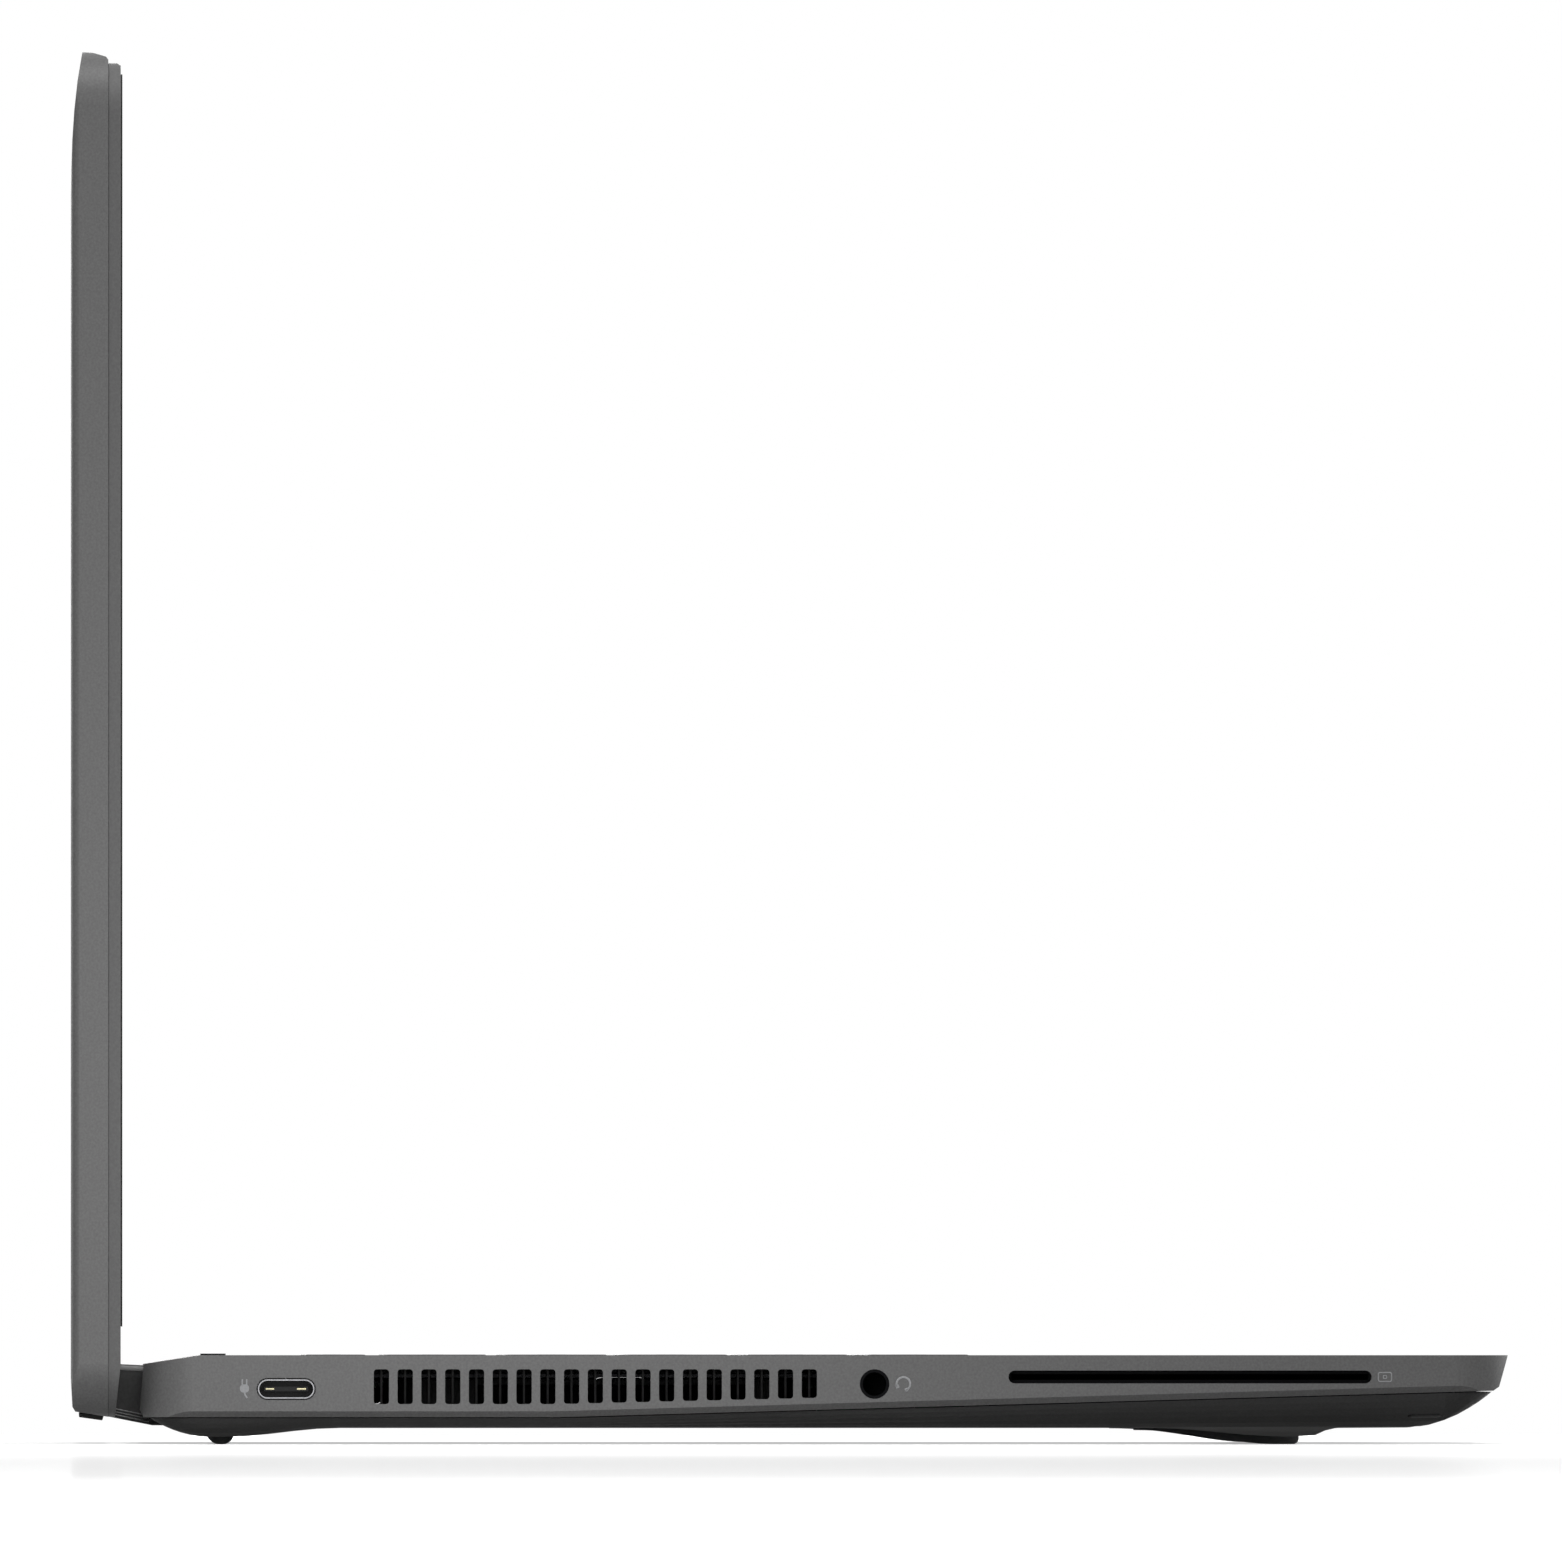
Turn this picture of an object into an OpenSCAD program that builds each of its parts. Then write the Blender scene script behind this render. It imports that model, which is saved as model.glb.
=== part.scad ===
// A clamshell laptop computer, drawn as it stands on a table with its lid upright.
// X runs left to right, the front edge faces -Y, Z is up, and the origin lies on the table
// under the middle of the whole outline. Inside every module, y is measured from the front edge.

/* [Base] */
// Width of the base, and of the lid
body_w = 321.4; // [320:0.2:330]
// Depth of the base, from its front edge to the rear edge of its deck
base_depth = 207.9; // [207:0.1:216]
// Height from the flat underside to the deck
base_thick = 11.1; // [10.9:0.1:12.5]
// Height of the flat underside above the table
foot_clearance = 2.5; // [2.3:0.1:3.5]
// Corner radius of the base and the lid, seen square on
corner_r = 8; // [6:0.5:10]
// Wall thickness of the two base shells
wall = 1.2; // [1:0.1:1.4]
// Thickness of the deck plate
deck_t = 1.2; // [1:0.1:1.3]
// Length over which the deck slopes down to its rear edge
rear_slope_run = 8.6; // [7.6:0.1:8.8]
// Drop of the deck at its rear edge
rear_slope_drop = 1.35; // [1:0.05:1.6]
// How far the foot of the front wall lies behind its top
front_lean = 1.4; // [0.8:0.1:2]
// Height of the front wall
front_wall_h = 4.8; // [4:0.1:5]
// Chamfer between the side walls and the bottom cover
edge_chamfer = 0.9; // [0.5:0.1:1.2]

/* [Bottom cover] */
// Height of the seam over the flat underside, at the rear
seam_rear_h = 1.5; // [1.2:0.1:1.8]
// Height of the seam over the flat underside, at the front
seam_front_h = 5.6; // [5.2:0.1:5.8]
// Distance from the rear edge at which the seam starts to climb
seam_bend_from_rear = 63; // [50:1:80]
// Depth of the swelling under the rear edge
hump_drop = 1.35; // [1:0.05:1.6]
// Length of the swelling's front slope
hump_run = 17.5; // [14:0.5:20]
// Width of the upswept rim at the front
rim_front = 14; // [12:0.5:15]
// Width of the upswept rim at the rear
rim_rear = 9; // [7:0.5:9]

/* [Feet] */
// Width of the rubber strips that the laptop stands on
foot_w = 4; // [3.5:0.1:4.4]
// Half length of the rear strip
rear_foot_half = 125; // [100:1:132]
// Distance of the rear strip's middle from the rear edge
rear_foot_from_rear = 11.8; // [11.1:0.1:12.5]
// Distance of the front strip's front side from the front edge
front_foot_d = 30.9; // [29:0.1:34]
// Half length of the front strip's straight run
front_foot_half = 100; // [80:1:104]
// Radius on which the front strip's ends sweep back
front_foot_sweep = 21.7; // [19:0.1:24]

/* [Lid] */
// Thickness of the lid, from the bezel's face to the back
lid_t = 7.6; // [7.2:0.1:8.6]
// Thickness of the part of that which the bezel takes
bezel_t = 1.9; // [1.7:0.1:2.1]
// Wall thickness of the lid cover
lid_wall = 1.1; // [0.9:0.1:1.3]
// How far the bezel's outline lies inside the lid cover's
bezel_inset = 0.8; // [0.5:0.1:1.2]
// How far the lid reaches below the hinge axis when it is upright
lid_below_axis = 3.2; // [2.8:0.1:3.6]
// How far the lid's back curves in at its top edge
lid_edge_drop = 1.75; // [1:0.05:2]
// Width of the bezel beside the picture
screen_border = 6; // [5.2:0.1:12]
// Height of the picture area
screen_h = 174; // [168:0.2:176]
// Distance from the lid's top edge to the picture
screen_from_top = 10.5; // [10:0.1:12]
// Height of the rubber seal on the bezel
gasket_h = 0.25; // [0.1:0.05:0.3]

/* [Hinge] */
// Distance of the hinge axis from the deck's rear edge
hinge_from_rear = 3.1; // [2.9:0.1:3.2]
// Distance from the hinge axis to the bezel's face
hinge_to_lid = 6.6; // [6.4:0.1:6.8]
// Gap between the bezel and the deck when the lid is shut
lid_gap = 0.4; // [0.35:0.01:0.6]
// Radius of the hinge pins
pin_r = 1.6; // [1.4:0.05:1.8]
// Radial running clearance of the pins in their knuckles
pin_clear = 0.03; // [0.02:0.01:0.05]
// Outer radius of the hinge cover's barrel
cover_r = 4.5; // [4.2:0.1:4.6]
// Distance from the middle to the near end of a hinge cover
cover_near = 99; // [97:1:102]
// Length of a hinge cover
cover_len = 38; // [34:1:40]

/* [Keyboard] */
// Pitch of the keys, left to right
key_pitch = 19.05; // [18.6:0.05:19.1]
// Pitch of the key rows, front to back
row_pitch = 18.4; // [18:0.1:18.6]
// Depth that the function row takes
function_pitch = 12.2; // [11.8:0.1:12.6]
// Bar between two neighbouring caps
key_gap = 3; // [2.6:0.1:3.4]
// Gap between a cap and its frame
key_clear = 0.45; // [0.35:0.05:0.55]
// Height of a key cap
cap_h = 1.5; // [1.4:0.05:1.6]
// How far a key goes down
key_travel = 1.3; // [1.1:0.05:1.35]
// Depth of the keyboard's frame below the deck
well_depth = 0.6; // [0.5:0.05:0.7]
// Distance of the keyboard's rear edge from the deck's rear edge
keyboard_from_rear = 23.2; // [23:0.1:25]

/* [Touchpad] */
// Width of the touchpad
touchpad_w = 115; // [100:1:120]
// Depth of the touchpad
touchpad_d = 66; // [60:1:66]
// Distance of the touchpad from the front edge
touchpad_from_front = 8.5; // [8:0.1:9]
// How far the touchpad's front edge goes down
touchpad_travel = 0.4; // [0.3:0.05:0.45]

/* [Ports and vents] */
// Pitch of the exhaust slots
vent_pitch = 3.62; // [3.4:0.01:3.7]
// Width of an exhaust slot
vent_w = 2.33; // [2:0.01:2.6]
// Height of the rearmost exhaust slot
vent_h = 5.3; // [4.8:0.1:5.4]
// Distance of the first slot's middle from the deck's rear edge
vent_from_rear = 36.2; // [36:0.1:39]
// Distance of the USB-C ports' middle from the deck's rear edge, on the left
usb_c_from_rear = 21.7; // [20:0.1:23]
// Radius of the headset jack's bore
jack_r = 1.8; // [1.78:0.01:1.82]
// Distance of the headset jack from the front edge
jack_d = 96.6; // [95:0.1:98]
// Width of the smart card slot
card_slot_w = 55.3; // [54.6:0.1:56]
// Height of the smart card slot
card_slot_h = 1.96; // [1.6:0.02:2.1]
// Distance of the smart card slot's front end from the front edge
card_slot_d = 20.9; // [20.5:0.1:21.2]
// Distance of the video port's middle from the deck's rear edge
hdmi_from_rear = 30; // [29:0.1:31]
// Distance of the USB-A port's middle from the deck's rear edge
usb_a_from_rear = 53; // [51:0.1:55]
// Distance of the USB-C port's middle from the deck's rear edge, on the right
usb_c_right_from_rear = 75; // [73:0.1:77]
// Distance of the lock slot's middle from the deck's rear edge
lock_from_rear = 12; // [11.5:0.1:13]

/* [Cooling] */
// Radius of the fan's blades
fan_r = 21; // [18:0.5:22]
// Number of fan blades
fan_blades = 17; // [11:2:19]

/* [Hidden] */
$fn = 48;

// Heights over the table
deck_z = foot_clearance + base_thick;
seam_rear_z = foot_clearance + seam_rear_h;
seam_front_z = foot_clearance + seam_front_h;
axis_d = base_depth - hinge_from_rear;
axis_z = deck_z + lid_gap - hinge_to_lid;
seam_bend = base_depth - seam_bend_from_rear;

// The lid upright: its bezel's face, its back, its top and its bottom
lid_face = axis_d + hinge_to_lid;
lid_back = lid_face + lid_t;
lid_top = axis_z + axis_d;
lid_bottom = axis_z - lid_below_axis;
open_depth = lid_back;

// Bottom cover: its outline's front and rear edge, and its half width
shadow_gap = 0.1;
front_toe = 0.9;
cover_front = front_lean + front_toe + shadow_gap;
cover_rear = base_depth - 1;
cover_half = body_w / 2 - edge_chamfer - shadow_gap;
hump_d = base_depth - 12.4;
ridge_back = 54.7;
ridge_crest = front_foot_d + foot_w / 2;
ridge_front = front_foot_d - 5.2;
ridge_drop = hump_drop;

// Running gaps and small clearances
snug = 0.05;
fit_gap = 0.15;
seat_gap = 0.3;

// ---- shapes that several parts use ----

// Everything is drawn from the front edge, and this sets it in the row's frame.
module from_front() {
    translate([0, -open_depth / 2, 0]) children();
}

// A (y, z) outline, drawn out along X.
module along_x(x0, x1) {
    translate([x0, 0, 0]) rotate([90, 0, 90]) linear_extrude(x1 - x0) children();
}

// An (x, z) outline, drawn out along Y.
module along_y(y0, y1) {
    translate([0, y1, 0]) rotate([90, 0, 0]) linear_extrude(y1 - y0) children();
}

// A rectangle with round corners about the origin.
module rounded(w, h, r) {
    c = min(r, w / 2 - 0.01, h / 2 - 0.01);
    square([w - 2 * c, h], center = true);
    square([w, h - 2 * c], center = true);
    for (sx = [-1, 1], sy = [-1, 1])
        translate([sx * (w / 2 - c), sy * (h / 2 - c)]) circle(c);
}

// A plate with round corners, by its low corner in y and z.
module plate(w, y0, y1, z0, z1, r = 1) {
    translate([0, (y0 + y1) / 2, z0]) linear_extrude(z1 - z0) rounded(w, y1 - y0, r);
}

// A box by its low and high corners.
module block(low, high) {
    translate(low) cube(high - low);
}

function smooth(t) = (1 - cos(180 * min(1, max(0, t)))) / 2;

// ---- the base's outer form ----

// Height of the seam between the two shells.
function seam_z(d) = d > seam_bend ? seam_rear_z
    : seam_rear_z + (seam_front_z - seam_rear_z) * (seam_bend - d) / seam_bend;

// The swelling that carries the rear foot, and the ridge that carries the front one, from 0 to 1.
function hump(d) = smooth((d - hump_d + hump_run) / hump_run);
function ridge(d) = d > ridge_crest ? smooth((ridge_back - d) / (ridge_back - ridge_crest))
    : smooth((d - ridge_front) / (front_foot_d - 0.9 - ridge_front));
ridge_half = front_foot_half + front_foot_sweep + foot_w;
ridge_fade = 12;
function ridge_share(x) = smooth((ridge_half + ridge_fade - abs(x)) / ridge_fade);

// Underside of the bottom cover away from its rim.
function belly_z(x, d) = foot_clearance - hump_drop * hump(d) - ridge_drop * ridge(d) * ridge_share(x);

// Half width of the bottom cover at a depth, with its round corners, when it is drawn in by an inset.
function cover_half_at(d, inset) =
    let (r = corner_r - inset, f = d - cover_front - inset, b = cover_rear - inset - d, e = min(f, b))
    cover_half - inset - (e >= r ? 0 : r - sqrt(max(0, r * r - (r - e) * (r - e))));

// Distance of a point from the bottom cover's outline.
function edge_distance(x, d) =
    let (ex = cover_half - abs(x), ed = min(d - cover_front, cover_rear - d))
    ex < corner_r && ed < corner_r
        ? corner_r - norm([corner_r - ex, corner_r - ed])
        : min(ex, ed);
function rim_run(d) = rim_rear + (rim_front - rim_rear) * (1 - d / cover_rear);
function rim_lift(x, d) = pow(max(0, 1 - max(0, edge_distance(x, d)) / rim_run(d)), 2);
function under_z(x, d) = belly_z(x, d) + (seam_z(d) - belly_z(x, d)) * rim_lift(x, d);

// Stations of the skin: depths from the front, and distances in from each side.
rim_steps = [0, 0.8, 2, 3.5, 5.2, 7.2, 9.5, 12];
skin_stations = concat(
    [for (s = rim_steps) s],
    [ridge_front - cover_front, ridge_front - cover_front + 1.6, ridge_front - cover_front + 3.2],
    [for (t = [0:0.14:1]) ridge_crest - cover_front + t * (ridge_back - ridge_crest)],
    [seam_bend - cover_front, hump_d - hump_run - cover_front],
    [for (t = [0.2:0.2:1]) hump_d - cover_front - hump_run * (1 - t)],
    [for (s = [9, 7.5, 6, 4.6, 3.4, 2.3, 1.4, 0.6, 0]) cover_rear - cover_front - s]
);
side_steps = [0, 1.5, 3, 5, 7.5, 10.5, 14];
inner_steps = [132, 124, 60];
function skin_row(half) = concat(
    [for (s = side_steps) s - half], [for (x = inner_steps) -x], [0],
    [for (i = [len(inner_steps) - 1:-1:0]) inner_steps[i]],
    [for (i = [len(side_steps) - 1:-1:0]) half - side_steps[i]]
);
skin_length = cover_rear - cover_front;
function station(i, inset) =
    cover_front + inset + skin_stations[i] * (skin_length - 2 * inset) / skin_length;

// One tray-shaped skin: the outer face, the inner face a wall above it, and the rim between them.
module tray_skin() {
    rows = len(skin_stations);
    cols = 2 * (len(side_steps) + len(inner_steps)) + 1;
    outer = [for (j = [0:rows - 1]) let (d = station(j, 0))
        for (x = skin_row(cover_half_at(d, 0))) [x, d, under_z(x, d)]];
    inner = [for (j = [0:rows - 1]) let (d = station(j, wall))
        for (x = skin_row(cover_half_at(d, wall)))
            let (edge = j == 0 || j == rows - 1 || abs(abs(x) - cover_half_at(d, wall)) < 0.001)
            [x, d, edge ? seam_z(d) : min(seam_z(d), under_z(x, d) + wall)]];
    n = rows * cols;
    function at(j, i) = j * cols + i;
    down = [for (j = [0:rows - 2], i = [0:cols - 2]) each
        [[at(j, i), at(j, i + 1), at(j + 1, i + 1)], [at(j, i), at(j + 1, i + 1), at(j + 1, i)]]];
    up = [for (f = down) [n + f[0], n + f[2], n + f[1]]];
    rim = concat(
        [for (i = [0:cols - 2]) each let (a = at(0, i), b = at(0, i + 1))
            [[a, n + a, n + b], [a, n + b, b]]],
        [for (i = [0:cols - 2]) each let (a = at(rows - 1, i), b = at(rows - 1, i + 1))
            [[b, n + b, n + a], [b, n + a, a]]],
        [for (j = [0:rows - 2]) each let (a = at(j, 0), b = at(j + 1, 0))
            [[b, n + b, n + a], [b, n + a, a]]],
        [for (j = [0:rows - 2]) each let (a = at(j, cols - 1), b = at(j + 1, cols - 1))
            [[a, n + a, n + b], [a, n + b, b]]]
    );
    polyhedron(concat(outer, inner), concat(down, up, rim));
}

// A hole along X with round ends, for a slot in a side wall.
module side_slot(d, z, w, h, r, x0, x1) {
    translate([x0, d, z]) rotate([90, 0, 90]) linear_extrude(x1 - x0) rounded(w, h, r);
}

// A round bar along X, Y or Z between two places on its axis.
module bar_x(r, x0, x1, d, z) {
    translate([x0, d, z]) rotate([0, 90, 0]) cylinder(r = r, h = x1 - x0);
}
module bar_y(r, x, y0, y1, z) {
    translate([x, y1, z]) rotate([90, 0, 0]) cylinder(r = r, h = y1 - y0);
}
module post(r, x, d, z0, z1) {
    translate([x, d, z0]) cylinder(r = r, h = z1 - z0);
}

// Both hands of a shape that is drawn on the right.
module both_sides() {
    children();
    mirror([1, 0, 0]) children();
}

// ---- where the pieces inside the base lie ----

side_wall = 1.6;
rear_lean = 0.6;
seam_gap = 0.15;
inner_half = body_w / 2 - side_wall;
ceiling_z = deck_z - deck_t;
floor_z = foot_clearance + wall;
case_rear = base_depth + rear_lean;

// Hinge notches in the base, one for each cover
cover_far = cover_near + cover_len;
notch_clear = 0.5;
notch_front = axis_d - cover_r - 0.7;
notch_near = cover_near - notch_clear;
notch_far = cover_far + notch_clear;

// Keyboard: its window in the deck, and the layers under it
units = 15;
key_rows = 5;
function_keys_n = 16;
well_margin = 0.8;
key_proud = 0.1;
key_rear = base_depth - keyboard_from_rear;
key_front = key_rear - function_pitch - key_rows * row_pitch;
key_left = -units * key_pitch / 2;
window_half = units * key_pitch / 2 + well_margin;
frame_flange = 2.6;
frame_t = 1;
frame_top = deck_z - well_depth;
flange_top = ceiling_z - snug;
frame_bottom = frame_top - frame_t;
sheet_t = 0.15;
sheet_top = deck_z + key_proud - cap_h - key_travel - snug;
plate_t = 0.5;
plate_top = sheet_top - sheet_t;
plate_bottom = plate_top - plate_t;

// Battery and circuit board
battery_front = 24;
battery_to_keys = 1.5;
battery_h = 4.4;
battery_half = body_w / 2 - 14.7;
battery_rear = key_front - battery_to_keys;
battery_z = floor_z + seat_gap;
board_t = 1;
board_top = plate_bottom - 0.6;
board_bottom = board_top - board_t;
board_to_battery = 3;
board_front = battery_rear + board_to_battery;
board_rear = base_depth - 19.9;
board_half = body_w / 2 - 12.4;
card_row = board_front + 11;
wireless_x = board_half - 64.3;
card_half = 11;
card_drop = 2.2;
card_t = 0.8;

// Fan, radiator and heat pipe
fan_x = -(body_w / 2 - 47);
fan_d = base_depth - 68.8;
fan_box = 2 * (fan_r + 11);
fan_bottom = floor_z + 0.9;
fan_top = plate_bottom - 0.3;
vent_first = base_depth - vent_from_rear;
vent_to_jack = 9.5;
vent_count = 1 + floor((vent_first - jack_d - vent_to_jack) / vent_pitch);
vent_last = vent_first - (vent_count - 1) * vent_pitch;
vent_top = deck_z - 2.15;
vent_r = 0.45;
radiator_out = inner_half - seat_gap;
radiator_in = board_half + 0.2;
radiator_top = ceiling_z - 0.5;
pipe_t = 1.25;
pipe_w = 6;
pipe_z = floor_z + 0.65;
pipe_top = pipe_z + pipe_t;
pipe_x = -(body_w / 2 - 10.7);
pipe_d = fan_d + fan_box / 2 + 1 + pipe_w / 2;
processor_x = -30;
processor_d = fan_d + 12;
processor_t = 1.2;
processor_w = 44;

// Ports in the side walls
port_face = body_w / 2 - 0.1;
usb_c_w = 8.94;
usb_c_h = 3.26;
usb_c_depth = 9.6;
usb_c_z = deck_z - 5.15;
jack_z = deck_z - 4.4;
jack_nose_r = jack_r + 0.4;
card_z = deck_z - 3.32;
card_mid = card_slot_d + card_slot_w / 2;
card_w = 54;
reader_half = card_slot_w / 2 + 0.45;
reader_len = 62;
usb_a_d = base_depth - usb_a_from_rear;
usb_a_w = 13.1;
usb_a_h = 5.7;
usb_a_z = deck_z - 4.45;
hdmi_d = base_depth - hdmi_from_rear;
hdmi_w = 15;
hdmi_h = 5.4;
hdmi_z = deck_z - 4.9;
usb_c_right_d = base_depth - usb_c_right_from_rear;
lock_d = base_depth - lock_from_rear;
lock_w = 7;
lock_h = 3;
port_depth = 12;
shell_t = 0.35;

// Screws that hold the bottom cover
screw_r = 1;
screw_head_r = 2.3;
screw_head_h = 0.8;
screw_len = 6;
boss_r = 2.6;
boss_gap = 0.45;
case_screws = [[75, 20], [body_w / 2 - 12.7, base_depth - 11.9], [40, base_depth - 16.9]];
plate_screws = [[body_w / 2 - 90.7, key_front + 11.5]];

// Touchpad
pad_rear = touchpad_from_front + touchpad_d;
pad_edge = 0.3;
pad_top = deck_z - 0.1;
pad_glass_t = 0.9;
pad_board_t = 0.8;
pad_board_z = pad_top - pad_glass_t - pad_board_t;

// Sound slots of the bottom cover
sound_slot_ds = [11.2, 14.2];
sound_slot_w = 23.3;
sound_slot_d = 1.8;
sound_from_side = 12.7;
side_sound_from_side = 6.65;
side_sound_w = 1.3;
side_sound_d = 5.2;

// Small pieces
foot_sink = 0.3;
foot_room = 0.1;
front_foot_round = 1;
rear_foot_round = foot_w / 2 - 0.3;
foot_tip_h = 0.35;
bumper_h = 0.25;
bumper_sink = 0.3;
cable_r = 0.7;
cap_skin = 0.7;
cap_wall = 1;
dome_r = 2.6;
dome_h = 0.75;
jack_bore = 11;
fins_per_slot = 2;
fan_pin_r = 1.5;
fan_hub_r = 9;
fan_clear = 0.04;

// Hinge and lid
knuckle_near = cover_near - 20.5;
knuckle_far = notch_near - wall - 0.5;
lug_near = cover_near + 5;
lug_far = lug_near + 13;
arm_t = 1.1;
arm_plate_h = 62;
panel_t = 2.6;
panel_front = lid_face + 0.95;
panel_back = panel_front + panel_t;
lid_inside = lid_back - lid_wall;
arm_back = lid_inside - seat_gap;
bezel_rim = 1.2;
panel_half = body_w / 2 - screen_border + 3;
panel_low = lid_top - screen_from_top - screen_h - 8;
panel_high = lid_top - screen_from_top + 3;
screen_w = body_w - 2 * screen_border;
camera_z = lid_top - 5.3;
shutter_x = 3;
shutter_len = 8;
shutter_h = 3.8;
shutter_t = 0.3;
shutter_travel = 5.2;
nub_x = 6.9;

// ---- the base's shells ----

module base_form() {
    seam_low = seam_gap;
    // the chamfer bends a little behind the seam, so that their corners stay apart
    bend_shift = 0.7;
    difference() {
        intersection() {
            along_x(-body_w / 2, body_w / 2) polygon([
                [0, deck_z], [base_depth - rear_slope_run, deck_z], [base_depth, deck_z - rear_slope_drop],
                [case_rear, seam_rear_z + 1.3], [base_depth, seam_rear_z + seam_low],
                [seam_bend, seam_rear_z + seam_low],
                [front_lean + front_toe, seam_z(front_lean + front_toe) + seam_low],
                [front_lean, deck_z - front_wall_h]
            ]);
            plate(body_w, 0, case_rear, 0, deck_z + 1, corner_r);
        }
        both_sides() {
            translate([body_w / 2, seam_bend + bend_shift, seam_rear_z + seam_low]) {
                along_y(-0.5, case_rear - seam_bend + 1) chamfer_section();
                rotate([-atan2(seam_front_z - seam_rear_z, seam_bend), 0, 0])
                    along_y(-seam_bend - 5, 0.5) chamfer_section();
            }
        }
    }
}
module chamfer_section() {
    over = 0.2;
    polygon([[over, -over], [over, edge_chamfer + over], [-edge_chamfer - over, -over]]);
}

// The space inside the base, down past the seam.
module base_hollow() {
    intersection() {
        along_x(-inner_half, inner_half) polygon([
            [side_wall, ceiling_z], [base_depth - rear_slope_run - 0.1, ceiling_z],
            [base_depth - wall, ceiling_z - rear_slope_drop], [case_rear - wall, seam_rear_z + 1.3],
            [case_rear - wall, 0], [front_lean + front_toe + wall, 0],
            [front_lean + front_toe + wall, seam_front_z], [front_lean + side_wall, deck_z - front_wall_h]
        ]);
        plate(2 * inner_half, side_wall, case_rear - wall + 0.3, 0, deck_z, corner_r - side_wall);
    }
}

// The notch for the right hinge cover, and what lines it.
module notch(z0, z1) {
    block([notch_near, notch_front, z0], [notch_far, case_rear + 1, z1]);
}
module notch_lining(z0, z1, d1) {
    block([notch_near - wall, notch_front - wall, z0], [notch_far + wall, d1, z1]);
}

module vent_slots() {
    for (i = [0:vent_count - 1]) {
        d = vent_first - i * vent_pitch;
        low = vent_top - vent_h + 0.85 * (seam_z(d) - seam_rear_z);
        h = vent_top - low;
        translate([0, d, low + h / 2]) along_x(-body_w / 2 - 1, -inner_half + 1) polygon([
            for (q = [[1, 1, 0], [-1, 1, 90], [-1, -1, 180], [1, -1, 270]], a = [0:30:90])
                [q[0] * (vent_w / 2 - vent_r) + vent_r * cos(q[2] + a),
                    q[1] * (h / 2 - vent_r) + vent_r * sin(q[2] + a)]
        ]);
    }
}

module case_boss(x, d) {
    post(boss_r, x, d, under_z(x, d) + wall + boss_gap, ceiling_z + snug);
}

// The deck, side walls, front and rear wall in one.
module top_case() {
    color([0.44, 0.45, 0.47]) from_front() difference() {
        union() {
            difference() {
                base_form();
                base_hollow();
            }
            intersection() {
                base_form();
                both_sides() notch_lining(0, deck_z, case_rear);
            }
            both_sides() for (s = case_screws) case_boss(s[0], s[1]);
        }
        both_sides() {
            notch(-1, deck_z + 1);
            // room behind the hinge knuckles, and the holes that the pins turn in
            block([knuckle_near - 2.6, axis_d, axis_z - 3.3],
                [notch_near - wall - 0.01, base_depth - 0.55, axis_z + 3.3]);
            bar_x(pin_r + 0.6, notch_near - wall - 1, notch_near + 1, axis_d, axis_z);
            for (s = case_screws)
                post(screw_r + snug, s[0], s[1], 0, ceiling_z - 0.4);
        }
        bar_x(cable_r + 0.5, -notch_far - wall - 1, -notch_far + 1, axis_d, axis_z);
        plate(2 * window_half, key_front - well_margin, key_rear + well_margin,
            ceiling_z - 1, deck_z + 1, 1.5);
        plate(touchpad_w + 2 * pad_edge, touchpad_from_front - pad_edge, pad_rear + pad_edge,
            ceiling_z - 1, deck_z + 1, 1.6);
        both_sides() bumper(deck_z - bumper_sink - 0.05, deck_z + 1, 0.1);
        vent_slots();
        side_slot(base_depth - usb_c_from_rear, usb_c_z, usb_c_w + 2 * snug, usb_c_h + 2 * snug, 2,
            -body_w / 2 - 1, -inner_half + 1);
        bar_x(jack_nose_r + snug, -body_w / 2 - 1, -inner_half + 1, jack_d, jack_z);
        side_slot(card_mid, card_z, card_slot_w, card_slot_h, 1, -body_w / 2 - 1, -inner_half + 1);
        side_slot(usb_c_right_d, usb_c_z, usb_c_w + 2 * snug, usb_c_h + 2 * snug, 2,
            inner_half - 1, body_w / 2 + 1);
        side_slot(usb_a_d, usb_a_z, usb_a_w + 2 * snug, usb_a_h + 2 * snug, 0.3,
            inner_half - 1, body_w / 2 + 1);
        side_slot(hdmi_d, hdmi_z, hdmi_w + 2 * snug, hdmi_h + 2 * snug, 0.8,
            inner_half - 1, body_w / 2 + 1);
        side_slot(lock_d, usb_c_z, lock_w, lock_h, 0.5, inner_half - 1, body_w / 2 + 1);
    }
}

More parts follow.
